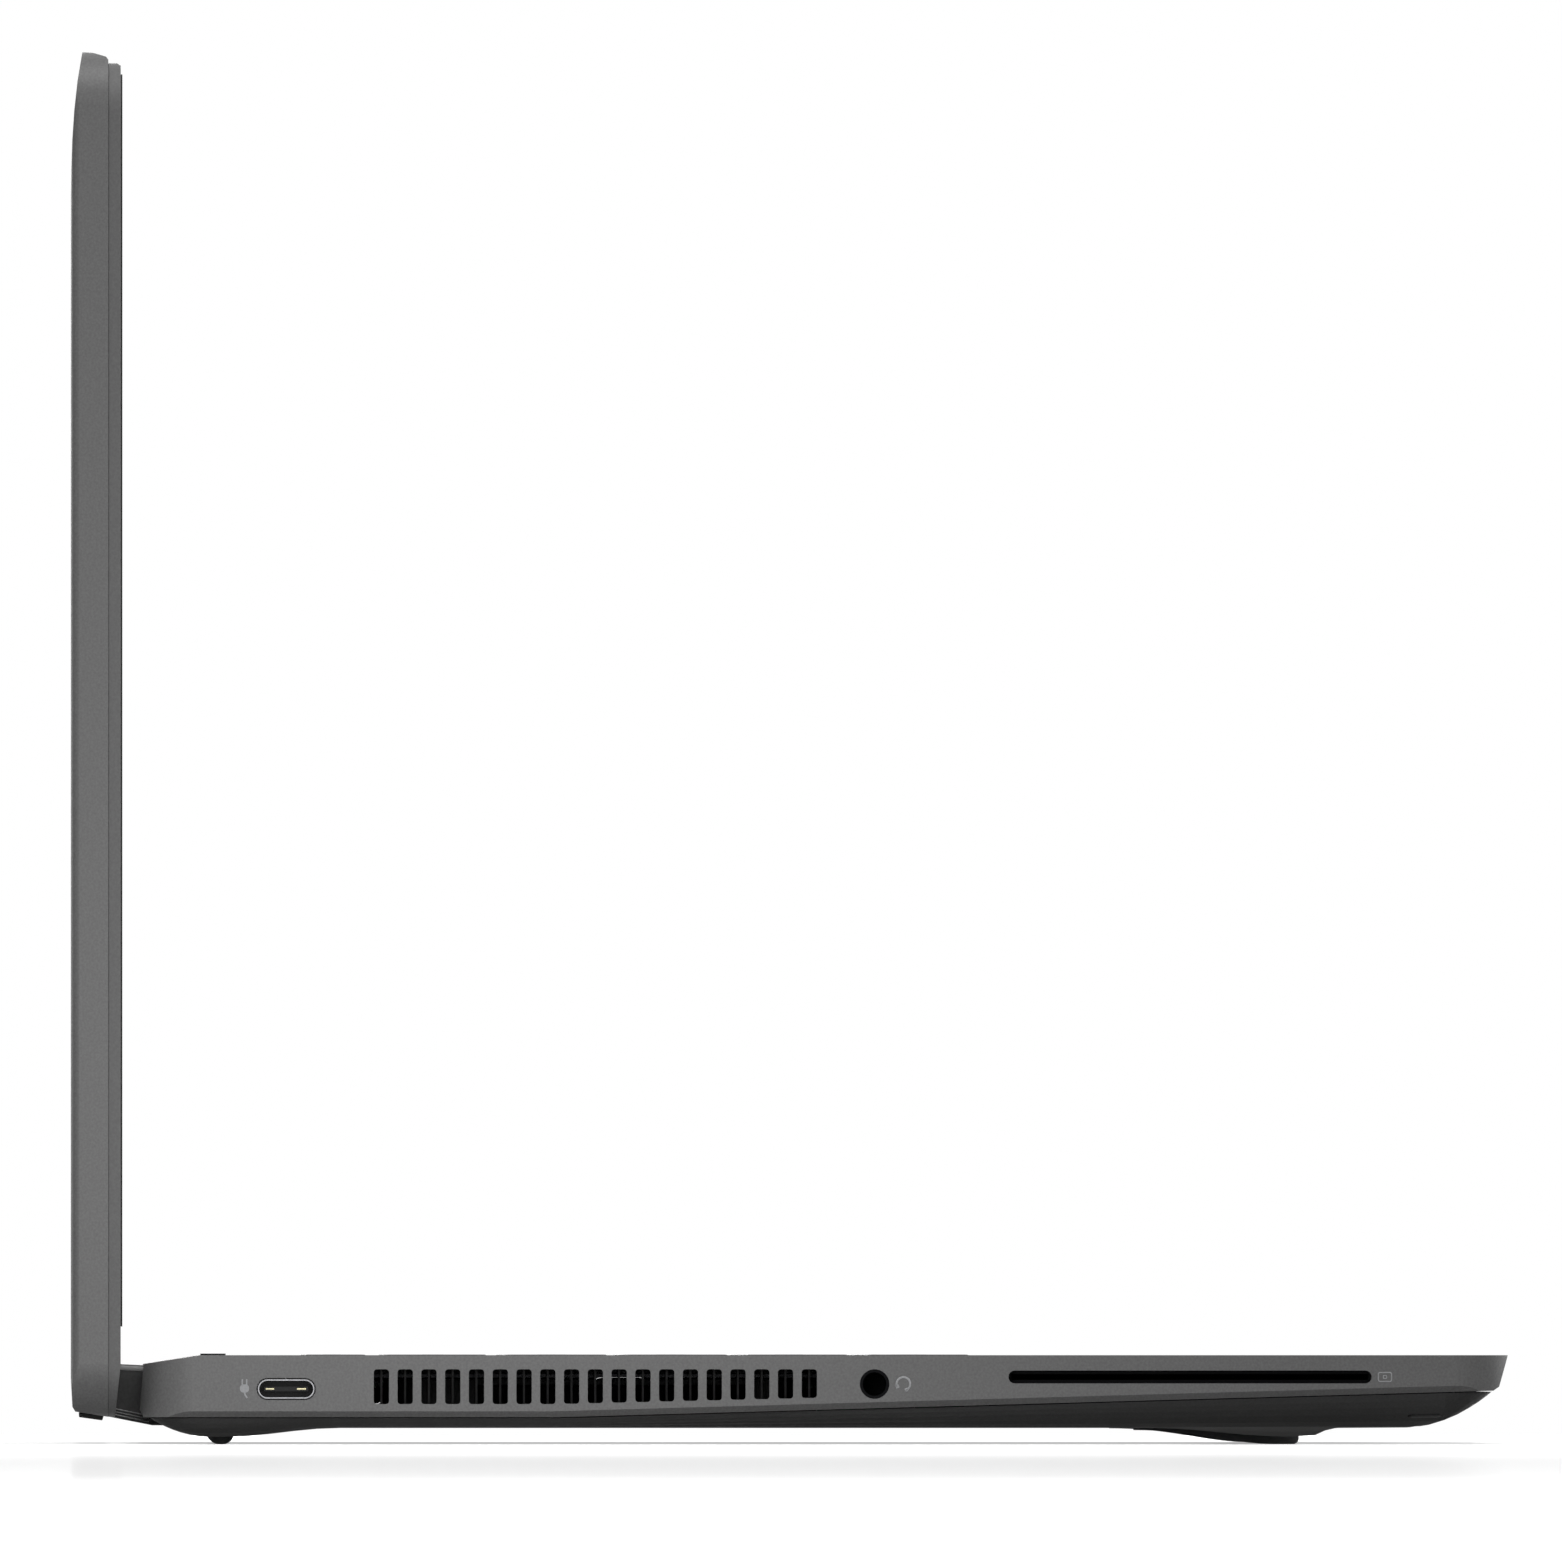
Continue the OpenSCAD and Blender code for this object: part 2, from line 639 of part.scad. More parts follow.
// The dark tray that closes the base from below.
module bottom_cover() {
    lining_z = foot_clearance - hump_drop + wall - 0.15;
    color([0.2, 0.21, 0.22]) from_front() difference() {
        union() {
            tray_skin();
            both_sides() notch_lining(lining_z, seam_rear_z, notch_front + 2.7);
        }
        both_sides() {
            notch(-1, deck_z);
            for (s = concat(case_screws, plate_screws)) {
                z = under_z(s[0], s[1]);
                post(screw_r + 0.3, s[0], s[1], z - 1, z + wall + 1);
                post(screw_head_r + 0.2, s[0], s[1], z - 1, z + screw_head_h);
            }
            // two sound slots under each front corner, and a short one up its side
            for (d = sound_slot_ds) translate([body_w / 2 - sound_from_side - sound_slot_w / 2, d, 0])
                linear_extrude(8) rounded(sound_slot_w, sound_slot_d, sound_slot_d / 2);
            translate([body_w / 2 - side_sound_from_side, (sound_slot_ds[0] + sound_slot_ds[1]) / 2, 0])
                linear_extrude(8) rounded(side_sound_w, side_sound_d, side_sound_w / 2);
        }
        // the fan draws its air in here
        for (i = [-8:8], j = [-1:1])
            translate([fan_x + i * 3, fan_d + j * 12, 0]) linear_extrude(floor_z + 1) rounded(1.6, 10, 0.8);
        rear_foot_shape(foot_room);
        front_foot_shape(foot_room);
    }
}

// ---- the feet ----

// The rear strip sits in a groove in the swelling.
module rear_foot_shape(room = 0) {
    half = foot_w / 2 + room;
    height = foot_clearance - hump_drop + foot_sink;
    translate([0, base_depth - rear_foot_from_rear, 0]) intersection() {
        linear_extrude(height) rounded(2 * (rear_foot_half + room), 2 * half, foot_w / 2);
        along_x(-body_w / 2, body_w / 2) hull() {
            for (s = [-1, 1])
                translate([s * (half - rear_foot_round), rear_foot_round]) circle(rear_foot_round);
            translate([-half, rear_foot_round]) square([2 * half, height]);
        }
    }
}
module rear_foot() {
    color([0.12, 0.12, 0.13]) from_front() rear_foot_shape();
}

// The front strip runs along the ridge, and its ends sweep back and thin out.
function foot_low(d) = let (share = ridge(max(ridge_crest, d - foot_w / 2)))
    foot_clearance - ridge_drop * share - foot_tip_h
    - (foot_clearance - ridge_drop - foot_tip_h) * share * share;
module front_foot_outline(half) {
    translate([0, ridge_crest]) square([2 * front_foot_half, 2 * half], center = true);
    for (s = [-1, 1]) translate([s * front_foot_half, ridge_crest + front_foot_sweep]) {
        intersection() {
            difference() {
                circle(front_foot_sweep + half, $fn = 96);
                circle(front_foot_sweep - half, $fn = 96);
            }
            translate([s * foot_w * 4, -foot_w * 4]) square(foot_w * 8, center = true);
        }
        translate([s * front_foot_sweep, 0]) circle(half);
    }
}
module front_foot_shape(room = 0) {
    steps = 16;
    first = front_foot_d - 1;
    last = ridge_crest + front_foot_sweep + foot_w;
    ds = [for (i = [0:steps]) first + (last - first) * i / steps];
    intersection() {
        linear_extrude(foot_clearance + 2) front_foot_outline(foot_w / 2 + room);
        along_x(-body_w / 2, body_w / 2) polygon(concat(
            [for (d = ds) [d, foot_low(d) - room * 10]],
            [for (i = [steps:-1:0]) [ds[i], foot_clearance - ridge_drop * ridge(ds[i]) + foot_sink]]
        ));
        along_x(-body_w / 2, body_w / 2) translate([front_foot_d - room, 0]) hull() {
            translate([front_foot_round, front_foot_round]) circle(front_foot_round);
            translate([0, front_foot_round]) square([last, foot_clearance]);
            translate([front_foot_round, 0]) square([last, foot_clearance]);
        }
    }
}
module front_foot() {
    color([0.12, 0.12, 0.13]) from_front() front_foot_shape();
}

// Two thin rubber pads on the deck, which the closed lid rests on.
module bumper(z0, z1, room = 0) {
    translate([body_w / 2 - 14, base_depth - 10.75, z0]) linear_extrude(z1 - z0)
        rounded(10 + 2 * room, 3.5 + 2 * room, 1.2);
}
module deck_bumpers() {
    color([0.13, 0.13, 0.14]) from_front() both_sides() bumper(deck_z - bumper_sink, deck_z + bumper_h);
}

module bottom_screws() {
    color([0.3, 0.3, 0.32]) from_front() both_sides() for (s = concat(case_screws, plate_screws)) {
        z = under_z(s[0], s[1]) + screw_head_h;
        difference() {
            union() {
                post(screw_r, s[0], s[1], z - 0.1, z + screw_len);
                post(screw_head_r, s[0], s[1], z - screw_head_h + 0.15, z);
            }
            translate([s[0], s[1], z - screw_head_h]) cylinder(r = 0.9, h = 0.6, $fn = 6);
        }
    }
}

// ---- the keyboard ----

// Key widths in each row, in units, from the number row to the bottom row.
key_widths = [
    concat([for (i = [1:13]) 1], [2]),
    concat([1.5], [for (i = [1:12]) 1], [1.5]),
    concat([1.75], [for (i = [1:11]) 1], [2.25]),
    concat([2.25], [for (i = [1:10]) 1], [2.75]),
    [1.25, 1, 1, 1.25, 5.25, 1, 1.25, 1, 1, 1]
];
arrow_pair = 8;
function widths(row) = row < 0
    ? [for (i = [0:function_keys_n]) units / (function_keys_n + 1)] : key_widths[row];
function key_start(row, i) = i == 0 ? 0 : key_start(row, i - 1) + widths(row)[i - 1];
function row_back(row) = row < 0 ? key_rear : key_rear - function_pitch - row * row_pitch;
function row_front(row) = row < 0 ? key_rear - function_pitch : row_back(row) - row_pitch;

// The outline of one key's cap, grown by a clearance. half is -1 or 1 for the arrow pair.
module key_outline(row, i, grow = 0, half = 0) {
    x0 = key_left + key_start(row, i) * key_pitch;
    w = widths(row)[i] * key_pitch - key_gap;
    deep = row_back(row) - row_front(row) - key_gap;
    share = half == 0 ? deep : (deep - 0.8) / 2;
    mid = (row_front(row) + row_back(row)) / 2 + half * (deep - share) / 2;
    translate([x0 + key_gap / 2 + w / 2, mid])
        rounded(w + 2 * grow, share + 2 * grow, 1.2 + grow);
}

// A hollow cap.
module key_cap(row, i, half = 0) {
    top = deck_z + key_proud;
    from_front() difference() {
        translate([0, 0, top - cap_h]) linear_extrude(cap_h) key_outline(row, i, 0, half);
        translate([0, 0, top - cap_h - 0.1]) linear_extrude(cap_h - cap_skin + 0.1)
            key_outline(row, i, -cap_wall, half);
    }
}
module key_run(row, first, last) {
    color([0.1, 0.1, 0.11]) for (i = [first:last]) key_cap(row, i);
}

// The frame between the keys, with a flange under the deck and a skirt down to the plate.
module keyboard_lattice() {
    mid = (key_front + key_rear) / 2;
    deep = key_rear - key_front;
    color([0.13, 0.13, 0.14]) from_front() difference() {
        union() {
            translate([0, mid, frame_bottom]) linear_extrude(frame_t)
                rounded(2 * window_half - 2 * fit_gap, deep + 2 * well_margin - 2 * fit_gap, 1.3);
            translate([0, mid, plate_top]) linear_extrude(flange_top - plate_top)
                rounded(2 * (window_half + frame_flange), deep + 2 * (well_margin + frame_flange), 2);
        }
        translate([0, mid, plate_top - 1]) linear_extrude(frame_bottom - plate_top + 1)
            rounded(2 * window_half, deep + 2 * well_margin, 1);
        translate([0, 0, frame_bottom - 1]) linear_extrude(frame_t + 2) {
            for (row = [-1:key_rows - 1], i = [0:len(widths(row)) - 1])
                key_outline(row, i, key_clear);
        }
    }
}
module keyboard_plate() {
    mid = (key_front + key_rear) / 2;
    color([0.55, 0.56, 0.58]) from_front() difference() {
        union() {
            translate([0, mid, plate_bottom]) linear_extrude(plate_t)
                rounded(2 * (window_half + frame_flange),
                    key_rear - key_front + 2 * (well_margin + frame_flange), 2);
            both_sides() for (s = plate_screws)
                post(boss_r, s[0], s[1], floor_z + boss_gap, plate_bottom + 0.1);
        }
        both_sides() for (s = plate_screws) post(screw_r + snug, s[0], s[1], 0, plate_top + 1);
    }
}

// The switch membrane with a low rubber dome under each cap.
module dome_sheet() {
    mid = (key_front + key_rear) / 2;
    color([0.75, 0.76, 0.78]) from_front() {
        translate([0, mid, plate_top]) linear_extrude(sheet_t)
            rounded(2 * window_half - 1, key_rear - key_front + 2 * well_margin - 1, 1);
        for (row = [-1:key_rows - 1], i = [0:len(widths(row)) - 1]) {
            x = key_left + (key_start(row, i) + widths(row)[i] / 2) * key_pitch;
            halves = row == key_rows - 1 && i == arrow_pair ? [-1, 1] : [0];
            d = (row_front(row) + row_back(row)) / 2;
            for (h = halves)
                post(h == 0 ? dome_r : dome_r / 2, x, d + h * row_pitch / 4, plate_top, sheet_top + dome_h);
        }
    }
}

module function_keys() { key_run(-1, 0, function_keys_n - 1); }
module power_button() { key_run(-1, function_keys_n, function_keys_n); }
module number_keys() { key_run(0, 0, 12); }
module backspace_key() { key_run(0, 13, 13); }
module tab_key() { key_run(1, 0, 0); }
module upper_letter_keys() { key_run(1, 1, 12); }
module backslash_key() { key_run(1, 13, 13); }
module caps_lock_key() { key_run(2, 0, 0); }
module home_letter_keys() { key_run(2, 1, 11); }
module enter_key() { key_run(2, 12, 12); }
module left_shift_key() { key_run(3, 0, 0); }
module lower_letter_keys() { key_run(3, 1, 10); }
module right_shift_key() { key_run(3, 11, 11); }
module modifier_keys() {
    key_run(4, 0, 3);
    key_run(4, 5, 6);
}
module space_bar() { key_run(4, 4, 4); }
module left_arrow_key() { key_run(4, 7, 7); }
module up_arrow_key() { color([0.1, 0.1, 0.11]) key_cap(4, arrow_pair, 1); }
module down_arrow_key() { color([0.1, 0.1, 0.11]) key_cap(4, arrow_pair, -1); }
module right_arrow_key() { key_run(4, 9, 9); }

// ---- the touchpad ----

module touchpad_glass() {
    color([0.38, 0.39, 0.41]) from_front()
        plate(touchpad_w, touchpad_from_front, pad_rear, pad_top - pad_glass_t, pad_top, 1.3);
}
module touchpad_board() {
    color([0.1, 0.3, 0.2]) from_front() union() {
        plate(touchpad_w - 2, touchpad_from_front + 1, pad_rear - 1, pad_board_z, pad_top - pad_glass_t, 1);
        post(2.5, 0, touchpad_from_front + 6, pad_board_z - 0.3, pad_board_z + 0.1);
    }
}

// The steel bridge under it: the rear ledge is its hinge line, the front stud meets its switch.
module touchpad_bracket() {
    sheet = 0.5;
    z0 = pad_board_z - touchpad_travel - 0.75 - sheet;
    half = touchpad_w / 2 + 5;
    mid = touchpad_from_front + touchpad_d / 2;
    window_pitch = (touchpad_w - 7) / 3;
    color([0.6, 0.61, 0.63]) from_front() difference() {
        union() {
            plate(2 * half, touchpad_from_front + 2, pad_rear + 1.2, z0, z0 + sheet, 2);
            for (s = [-1, 1]) translate([s * (half - 1.75), mid, z0])
                linear_extrude(ceiling_z - z0) square([3.5, touchpad_d - 16], center = true);
            block([-touchpad_w / 2 + 4, pad_rear - 3, z0],
                [touchpad_w / 2 - 4, pad_rear - 1.4, pad_board_z - 0.02]);
            post(3, 0, touchpad_from_front + 6, z0, pad_board_z - 0.3 - touchpad_travel - 0.03);
        }
        for (i = [-1:1]) translate([i * window_pitch, mid + 4, z0 - 1])
            linear_extrude(sheet + 2) rounded(window_pitch - 8, touchpad_d - 32, 3);
    }
}

// ---- ports on the left and right ----

// A metal socket shell that opens towards +X at x1, with a tongue inside.
module socket(d, z, w, h, r, x0, x1, tongue_w, tongue_t, tongue_z) {
    difference() {
        side_slot(d, z, w, h, r, x0, x1);
        side_slot(d, z, w - 2 * shell_t, h - 2 * shell_t, r - shell_t, x0 + 1, x1 + 1);
    }
    block([x0 + 0.5, d - tongue_w / 2, z + tongue_z - tongue_t / 2],
        [x1 - 1.2, d + tongue_w / 2, z + tongue_z + tongue_t / 2]);
}
module usb_c_socket(d) {
    socket(d, usb_c_z, usb_c_w, usb_c_h, usb_c_h / 2, port_face - usb_c_depth, port_face, 6.7, 0.7, 0);
}
module usb_c_left() {
    color([0.3, 0.3, 0.31]) from_front() mirror([1, 0, 0]) usb_c_socket(base_depth - usb_c_from_rear);
}
module usb_c_right() {
    color([0.3, 0.3, 0.31]) from_front() usb_c_socket(usb_c_right_d);
}
module usb_a_port() {
    color([0.6, 0.6, 0.62]) from_front() socket(usb_a_d, usb_a_z, usb_a_w, usb_a_h, 0.4,
        port_face - port_depth, port_face, 11.1, 1.8, 1.1);
}
module hdmi_port() {
    color([0.6, 0.6, 0.62]) from_front() socket(hdmi_d, hdmi_z, hdmi_w, hdmi_h, 0.9,
        port_face - port_depth, port_face, 11, 1.2, 0.3);
}
module headset_jack() {
    body_x = -inner_half + seat_gap;
    color([0.08, 0.08, 0.09]) from_front() difference() {
        union() {
            bar_x(jack_nose_r, -port_face, body_x + 1, jack_d, jack_z);
            block([body_x, jack_d - 3.6, jack_z - 2.8], [body_x + 11.5, jack_d + 3.6, jack_z + 2.8]);
        }
        bar_x(jack_r, -port_face - 1, -port_face + jack_bore, jack_d, jack_z);
    }
}
module smart_card_reader() {
    x0 = -inner_half + seat_gap;
    color([0.25, 0.25, 0.26]) from_front() difference() {
        block([x0, card_mid - reader_half, card_z - 1.5],
            [x0 + reader_len, card_mid + reader_half, card_z + 1.5]);
        block([x0 - 1, card_mid - card_w / 2 - 0.2, card_z - 0.45],
            [x0 + reader_len - 4, card_mid + card_w / 2 + 0.2, card_z + 0.45]);
        translate([x0 + 34, card_mid, card_z]) linear_extrude(2) rounded(30, 34, 3);
    }
}

// ---- boards and power ----

module motherboard() {
    mid_x = fan_x + fan_box / 2 + 2;
    tongue_d = fan_d + fan_box / 2 + 2.5;
    chips = [
        [35, 0, 14, 11], [54, 0, 14, 11], [35, 16, 14, 11], [54, 16, 14, 11],
        [95, 20, 12, 12], [110, -8, 16, 8]
    ];
    color([0.07, 0.28, 0.18]) from_front() difference() {
        union() {
            block([mid_x, board_front, board_bottom], [board_half, board_rear, board_top]);
            block([-board_half, tongue_d, board_bottom], [mid_x + 1, board_rear, board_top]);
            block([processor_x - processor_w / 2, processor_d - 13, board_bottom - processor_t],
                [processor_x + processor_w / 2, processor_d + 13, board_bottom]);
            // memory, power and radio chips, each by its middle, width and depth
            for (m = chips)
                translate([m[0], processor_d + m[1] - 8, board_bottom - 1])
                    linear_extrude(1.1) square([m[2], m[3]], center = true);
        }
        both_sides() for (s = plate_screws) post(boss_r + 0.5, s[0], s[1], 0, deck_z);
    }
}
module heat_pipe() {
    plate_z = board_bottom - processor_t;
    x1 = processor_x + processor_w / 2 - 4;
    color([0.72, 0.45, 0.3]) from_front() union() {
        translate([0, 0, pipe_z]) linear_extrude(pipe_t) {
            translate([pipe_x - pipe_w / 2, vent_last - 1]) square([pipe_w, pipe_d - vent_last + 1]);
            translate([pipe_x, pipe_d]) circle(pipe_w / 2);
            translate([pipe_x, pipe_d - pipe_w / 2]) square([x1 - pipe_x - pipe_w, pipe_w]);
            translate([x1 - pipe_w, processor_d]) square([pipe_w, pipe_d - processor_d]);
            translate([x1 - pipe_w, pipe_d]) circle(pipe_w / 2);
        }
        block([processor_x - processor_w / 2 - 2, processor_d - 18, pipe_top - 0.01],
            [processor_x + processor_w / 2 + 2, processor_d + 18, plate_z]);
    }
}
module radiator_fins() {
    skin = 0.3;
    fin_pitch = vent_pitch / fins_per_slot;
    fins = fins_per_slot * vent_count;
    d0 = vent_last - fin_pitch;
    d1 = d0 + fins * fin_pitch;
    color([0.6, 0.45, 0.35]) from_front() mirror([1, 0, 0]) difference() {
        block([radiator_in, d0 - skin / 2, pipe_top], [radiator_out, d1 + skin / 2, radiator_top]);
        for (i = [0:fins - 1])
            block([radiator_in - 1, d0 + i * fin_pitch + skin / 2, pipe_top + skin],
                [radiator_out + 1, d0 + (i + 1) * fin_pitch - skin / 2, radiator_top - skin]);
    }
}
module fan_housing() {
    skin = 0.8;
    room = fan_r + 3;
    color([0.1, 0.1, 0.11]) from_front() difference() {
        translate([fan_x, fan_d, fan_bottom]) linear_extrude(fan_top - fan_bottom)
            rounded(fan_box, fan_box, 6);
        difference() {
            union() {
                post(room, fan_x, fan_d, fan_bottom + skin, fan_top - skin);
                block([fan_x - fan_box / 2 - 1, fan_d - room, fan_bottom + skin],
                    [fan_x, fan_d + room - 6, fan_top - skin]);
            }
            post(fan_pin_r, fan_x, fan_d, fan_bottom, fan_top);
        }
        difference() {
            post(fan_r - 6, fan_x, fan_d, fan_bottom - 1, fan_bottom + skin + 0.1);
            post(fan_hub_r, fan_x, fan_d, fan_bottom - 1, fan_top);
            for (a = [0:120:240]) translate([fan_x, fan_d, fan_bottom - 1]) rotate(a)
                translate([0, -1.25, 0]) cube([fan_r, 2.5, 3]);
        }
    }
}
module fan_rotor() {
    low = fan_bottom + 0.8 + 0.4;
    high = fan_top - 0.8 - 0.4;
    color([0.15, 0.15, 0.16]) from_front() translate([fan_x, fan_d, low])
        linear_extrude(high - low) difference() {
            union() {
                circle(fan_hub_r);
                for (i = [0:fan_blades - 1]) rotate(i * 360 / fan_blades)
                    translate([fan_hub_r - 1, 0]) rotate(-28) square([fan_r - fan_hub_r - 1, 0.7]);
            }
            circle(fan_pin_r + fan_clear);
        }
}
module battery_pack() {
    cells = 4;
    cell_w = (2 * battery_half - 2) / cells - 2;
    color([0.12, 0.12, 0.13]) from_front() {
        difference() {
            block([-battery_half, battery_front, battery_z],
                [battery_half, battery_rear, battery_z + battery_h]);
            for (i = [0:cells - 1]) {
                x = -battery_half + 2 + i * (cell_w + 2);
                block([x, battery_front + 2, battery_z - 1],
                    [x + cell_w, battery_rear - 5, battery_z + battery_h + 1]);
            }
        }
        for (i = [0:cells - 1]) {
            x = -battery_half + 2 + i * (cell_w + 2);
            block([x + snug, battery_front + 2 + snug, battery_z + 0.2],
                [x + cell_w - snug, battery_rear - 5 - snug, battery_z + battery_h - 0.1]);
        }
    }
}

// A plug-in card under the board: its socket at x, the card, a chip on it and its screw post.
module plug_in_card(x, length, chip_len) {
    d = card_row;
    block([x, d - card_half, board_bottom - card_drop - 1.4], [x + 6, d + card_half, board_bottom]);
    block([x + 5, d - card_half, board_bottom - card_drop],
        [x + length, d + card_half, board_bottom - card_drop + card_t]);
    block([x + 9, d - card_half + 3, board_bottom - card_drop - 1.2],
        [x + 9 + chip_len, d + card_half - 3, board_bottom - card_drop + 0.1]);
    post(2.5, x + length - 3, d, board_bottom - card_drop, board_bottom);
}
module solid_state_drive() {
    color([0.08, 0.25, 0.4]) from_front() union() {
        plug_in_card(-32, 80, 33);
        block([16, card_row - 6, board_bottom - card_drop - 1.2],
            [30, card_row + 6, board_bottom - card_drop + 0.1]);
    }
}
module wireless_card() {
    color([0.08, 0.25, 0.4]) from_front() union() plug_in_card(wireless_x, 32, 15);
}
module speakers() {
    color([0.1, 0.1, 0.11]) from_front() both_sides() difference() {
        block([body_w / 2 - 72, 8, seam_front_z - 1.6], [body_w / 2 - 12.7, 18.8, ceiling_z - snug]);
        translate([body_w / 2 - 28, 13.4, seam_front_z - 2]) linear_extrude(3) rounded(26, 8, 3);
    }
}

// ---- the hinge ----

// The steel blocks in the base that the pins turn in, each on a foot under the deck.
module hinge_brackets() {
    foot_z = axis_z + 1.7;
    color([0.5, 0.5, 0.52]) from_front() both_sides() difference() {
        union() {
            block([knuckle_near, axis_d - 4.5, axis_z - 2.9], [knuckle_far, axis_d + 2.3, axis_z + 2.9]);
            block([knuckle_near, base_depth - 19, foot_z], [knuckle_far, axis_d - 4, axis_z + 2.9]);
            for (x = [knuckle_near + 3, knuckle_far - 3])
                post(2.5, x, base_depth - 15, foot_z, ceiling_z);
        }
        bar_x(pin_r + pin_clear, knuckle_near - 1, knuckle_far + 1, axis_d, axis_z);
        for (x = [knuckle_near + 3, knuckle_far - 3])
            post(1.1, x, base_depth - 15, foot_z - 1, ceiling_z + 1);
    }
}

// The pins, with a collar at the inner end.
module hinge_pins() {
    color([0.7, 0.7, 0.72]) from_front() both_sides() union() {
        bar_x(pin_r, knuckle_near - 2, lug_far + 0.5, axis_d, axis_z);
        bar_x(pin_r + 0.6, knuckle_near - 2, knuckle_near - 0.3, axis_d, axis_z);
    }
}

// The steel arms: a lug round each pin, and a plate behind the picture panel.
module hinge_arms() {
    color([0.5, 0.5, 0.52]) from_front() both_sides() difference() {
        union() {
            bar_x(3, lug_near, lug_far, axis_d, axis_z);
            block([lug_near, axis_d, axis_z - 1.6], [lug_far, arm_back, axis_z + 1.6]);
            block([lug_near, arm_back - arm_t, axis_z - 1.6],
                [lug_far, arm_back, lid_bottom + arm_plate_h]);
        }
        bar_x(pin_r + snug, lug_near - 1, lug_far + 1, axis_d, axis_z);
        for (z = [20, 36, 52])
            bar_y(1.2, (lug_near + lug_far) / 2, arm_back - 3, arm_back + 1, lid_bottom + z);
    }
}

// The plastic covers over the hinges, which turn with the lid.
module hinge_covers() {
    skin = 0.7;
    color([0.14, 0.14, 0.15]) from_front() both_sides() difference() {
        along_x(cover_near, cover_far) cover_section(0);
        along_x(cover_near + skin, cover_far - skin) cover_section(skin);
        bar_x(pin_r + fit_gap, cover_near - 1, cover_near + skin + 1, axis_d, axis_z);
        bar_x(cable_r + fit_gap, cover_far - skin - 1, cover_far + 1, axis_d, axis_z);
    }
}
module cover_section(inset) {
    r = cover_r - inset;
    back = lid_face + bezel_t + 0.6 + (inset > 0 ? 1 : 0);
    translate([axis_d, axis_z]) circle(r);
    polygon([
        [axis_d, axis_z + r], [lid_face, axis_z + r + 0.3], [back, axis_z + r + 0.3],
        [back, axis_z - 3.05 + inset], [axis_d + 1.8, axis_z - r], [axis_d, axis_z - r]
    ]);
}

// ---- the lid ----

// A plate standing in the lid: an outline of X and Z with round corners, between two depths.
module upright(w, z0, z1, y0, y1, r) {
    translate([0, y1, (z0 + z1) / 2]) rotate([90, 0, 0]) linear_extrude(y1 - y0) rounded(w, z1 - z0, r);
}

// The lid's outline seen from the side, with its back curving in and its top falling to the front.
module lid_section(front, back, top, low) {
    run = 27;
    arc = [for (i = [0:6]) let (t = i / 6) [back - lid_edge_drop * pow(t, 3), top - run * (1 - t)]];
    polygon(concat(
        [[front, low], [front, top - 1.25], [front + 0.35, top - 0.75], [front + 2.3, top - 0.15]],
        [for (i = [6:-1:0]) arc[i]],
        [[back, low + 6], [back - 0.25, low + 1.5], [back - 0.7, low + 0.8]]
    ));
}
module lid_cover() {
    front = lid_face + bezel_t;
    r = 1.3;
    color([0.44, 0.45, 0.47]) from_front() difference() {
        intersection() {
            upright(body_w, lid_bottom, lid_top, front, lid_back, corner_r);
            along_x(-body_w / 2, body_w / 2) lid_section(front, lid_back, lid_top, lid_bottom);
            translate([0, 0, lid_bottom - 1]) linear_extrude(lid_top + 2) {
                translate([-body_w / 2 + r, front]) square([body_w - 2 * r, lid_t - bezel_t]);
                translate([-body_w / 2, front]) square([body_w, lid_t - bezel_t - r]);
                for (s = [-1, 1]) translate([s * (body_w / 2 - r), lid_back - r]) circle(r);
            }
        }
        intersection() {
            upright(body_w - 2 * lid_wall, lid_bottom + lid_wall, lid_top - lid_wall - 0.6,
                front - 1, lid_back, corner_r - lid_wall);
            along_x(-body_w / 2, body_w / 2)
                lid_section(front - 3, lid_inside, lid_top - lid_wall, lid_bottom);
        }
        both_sides() block([notch_near, front - 1, lid_bottom - 1],
            [notch_far, lid_back - 3.4, axis_z + cover_r + 0.9]);
    }
}

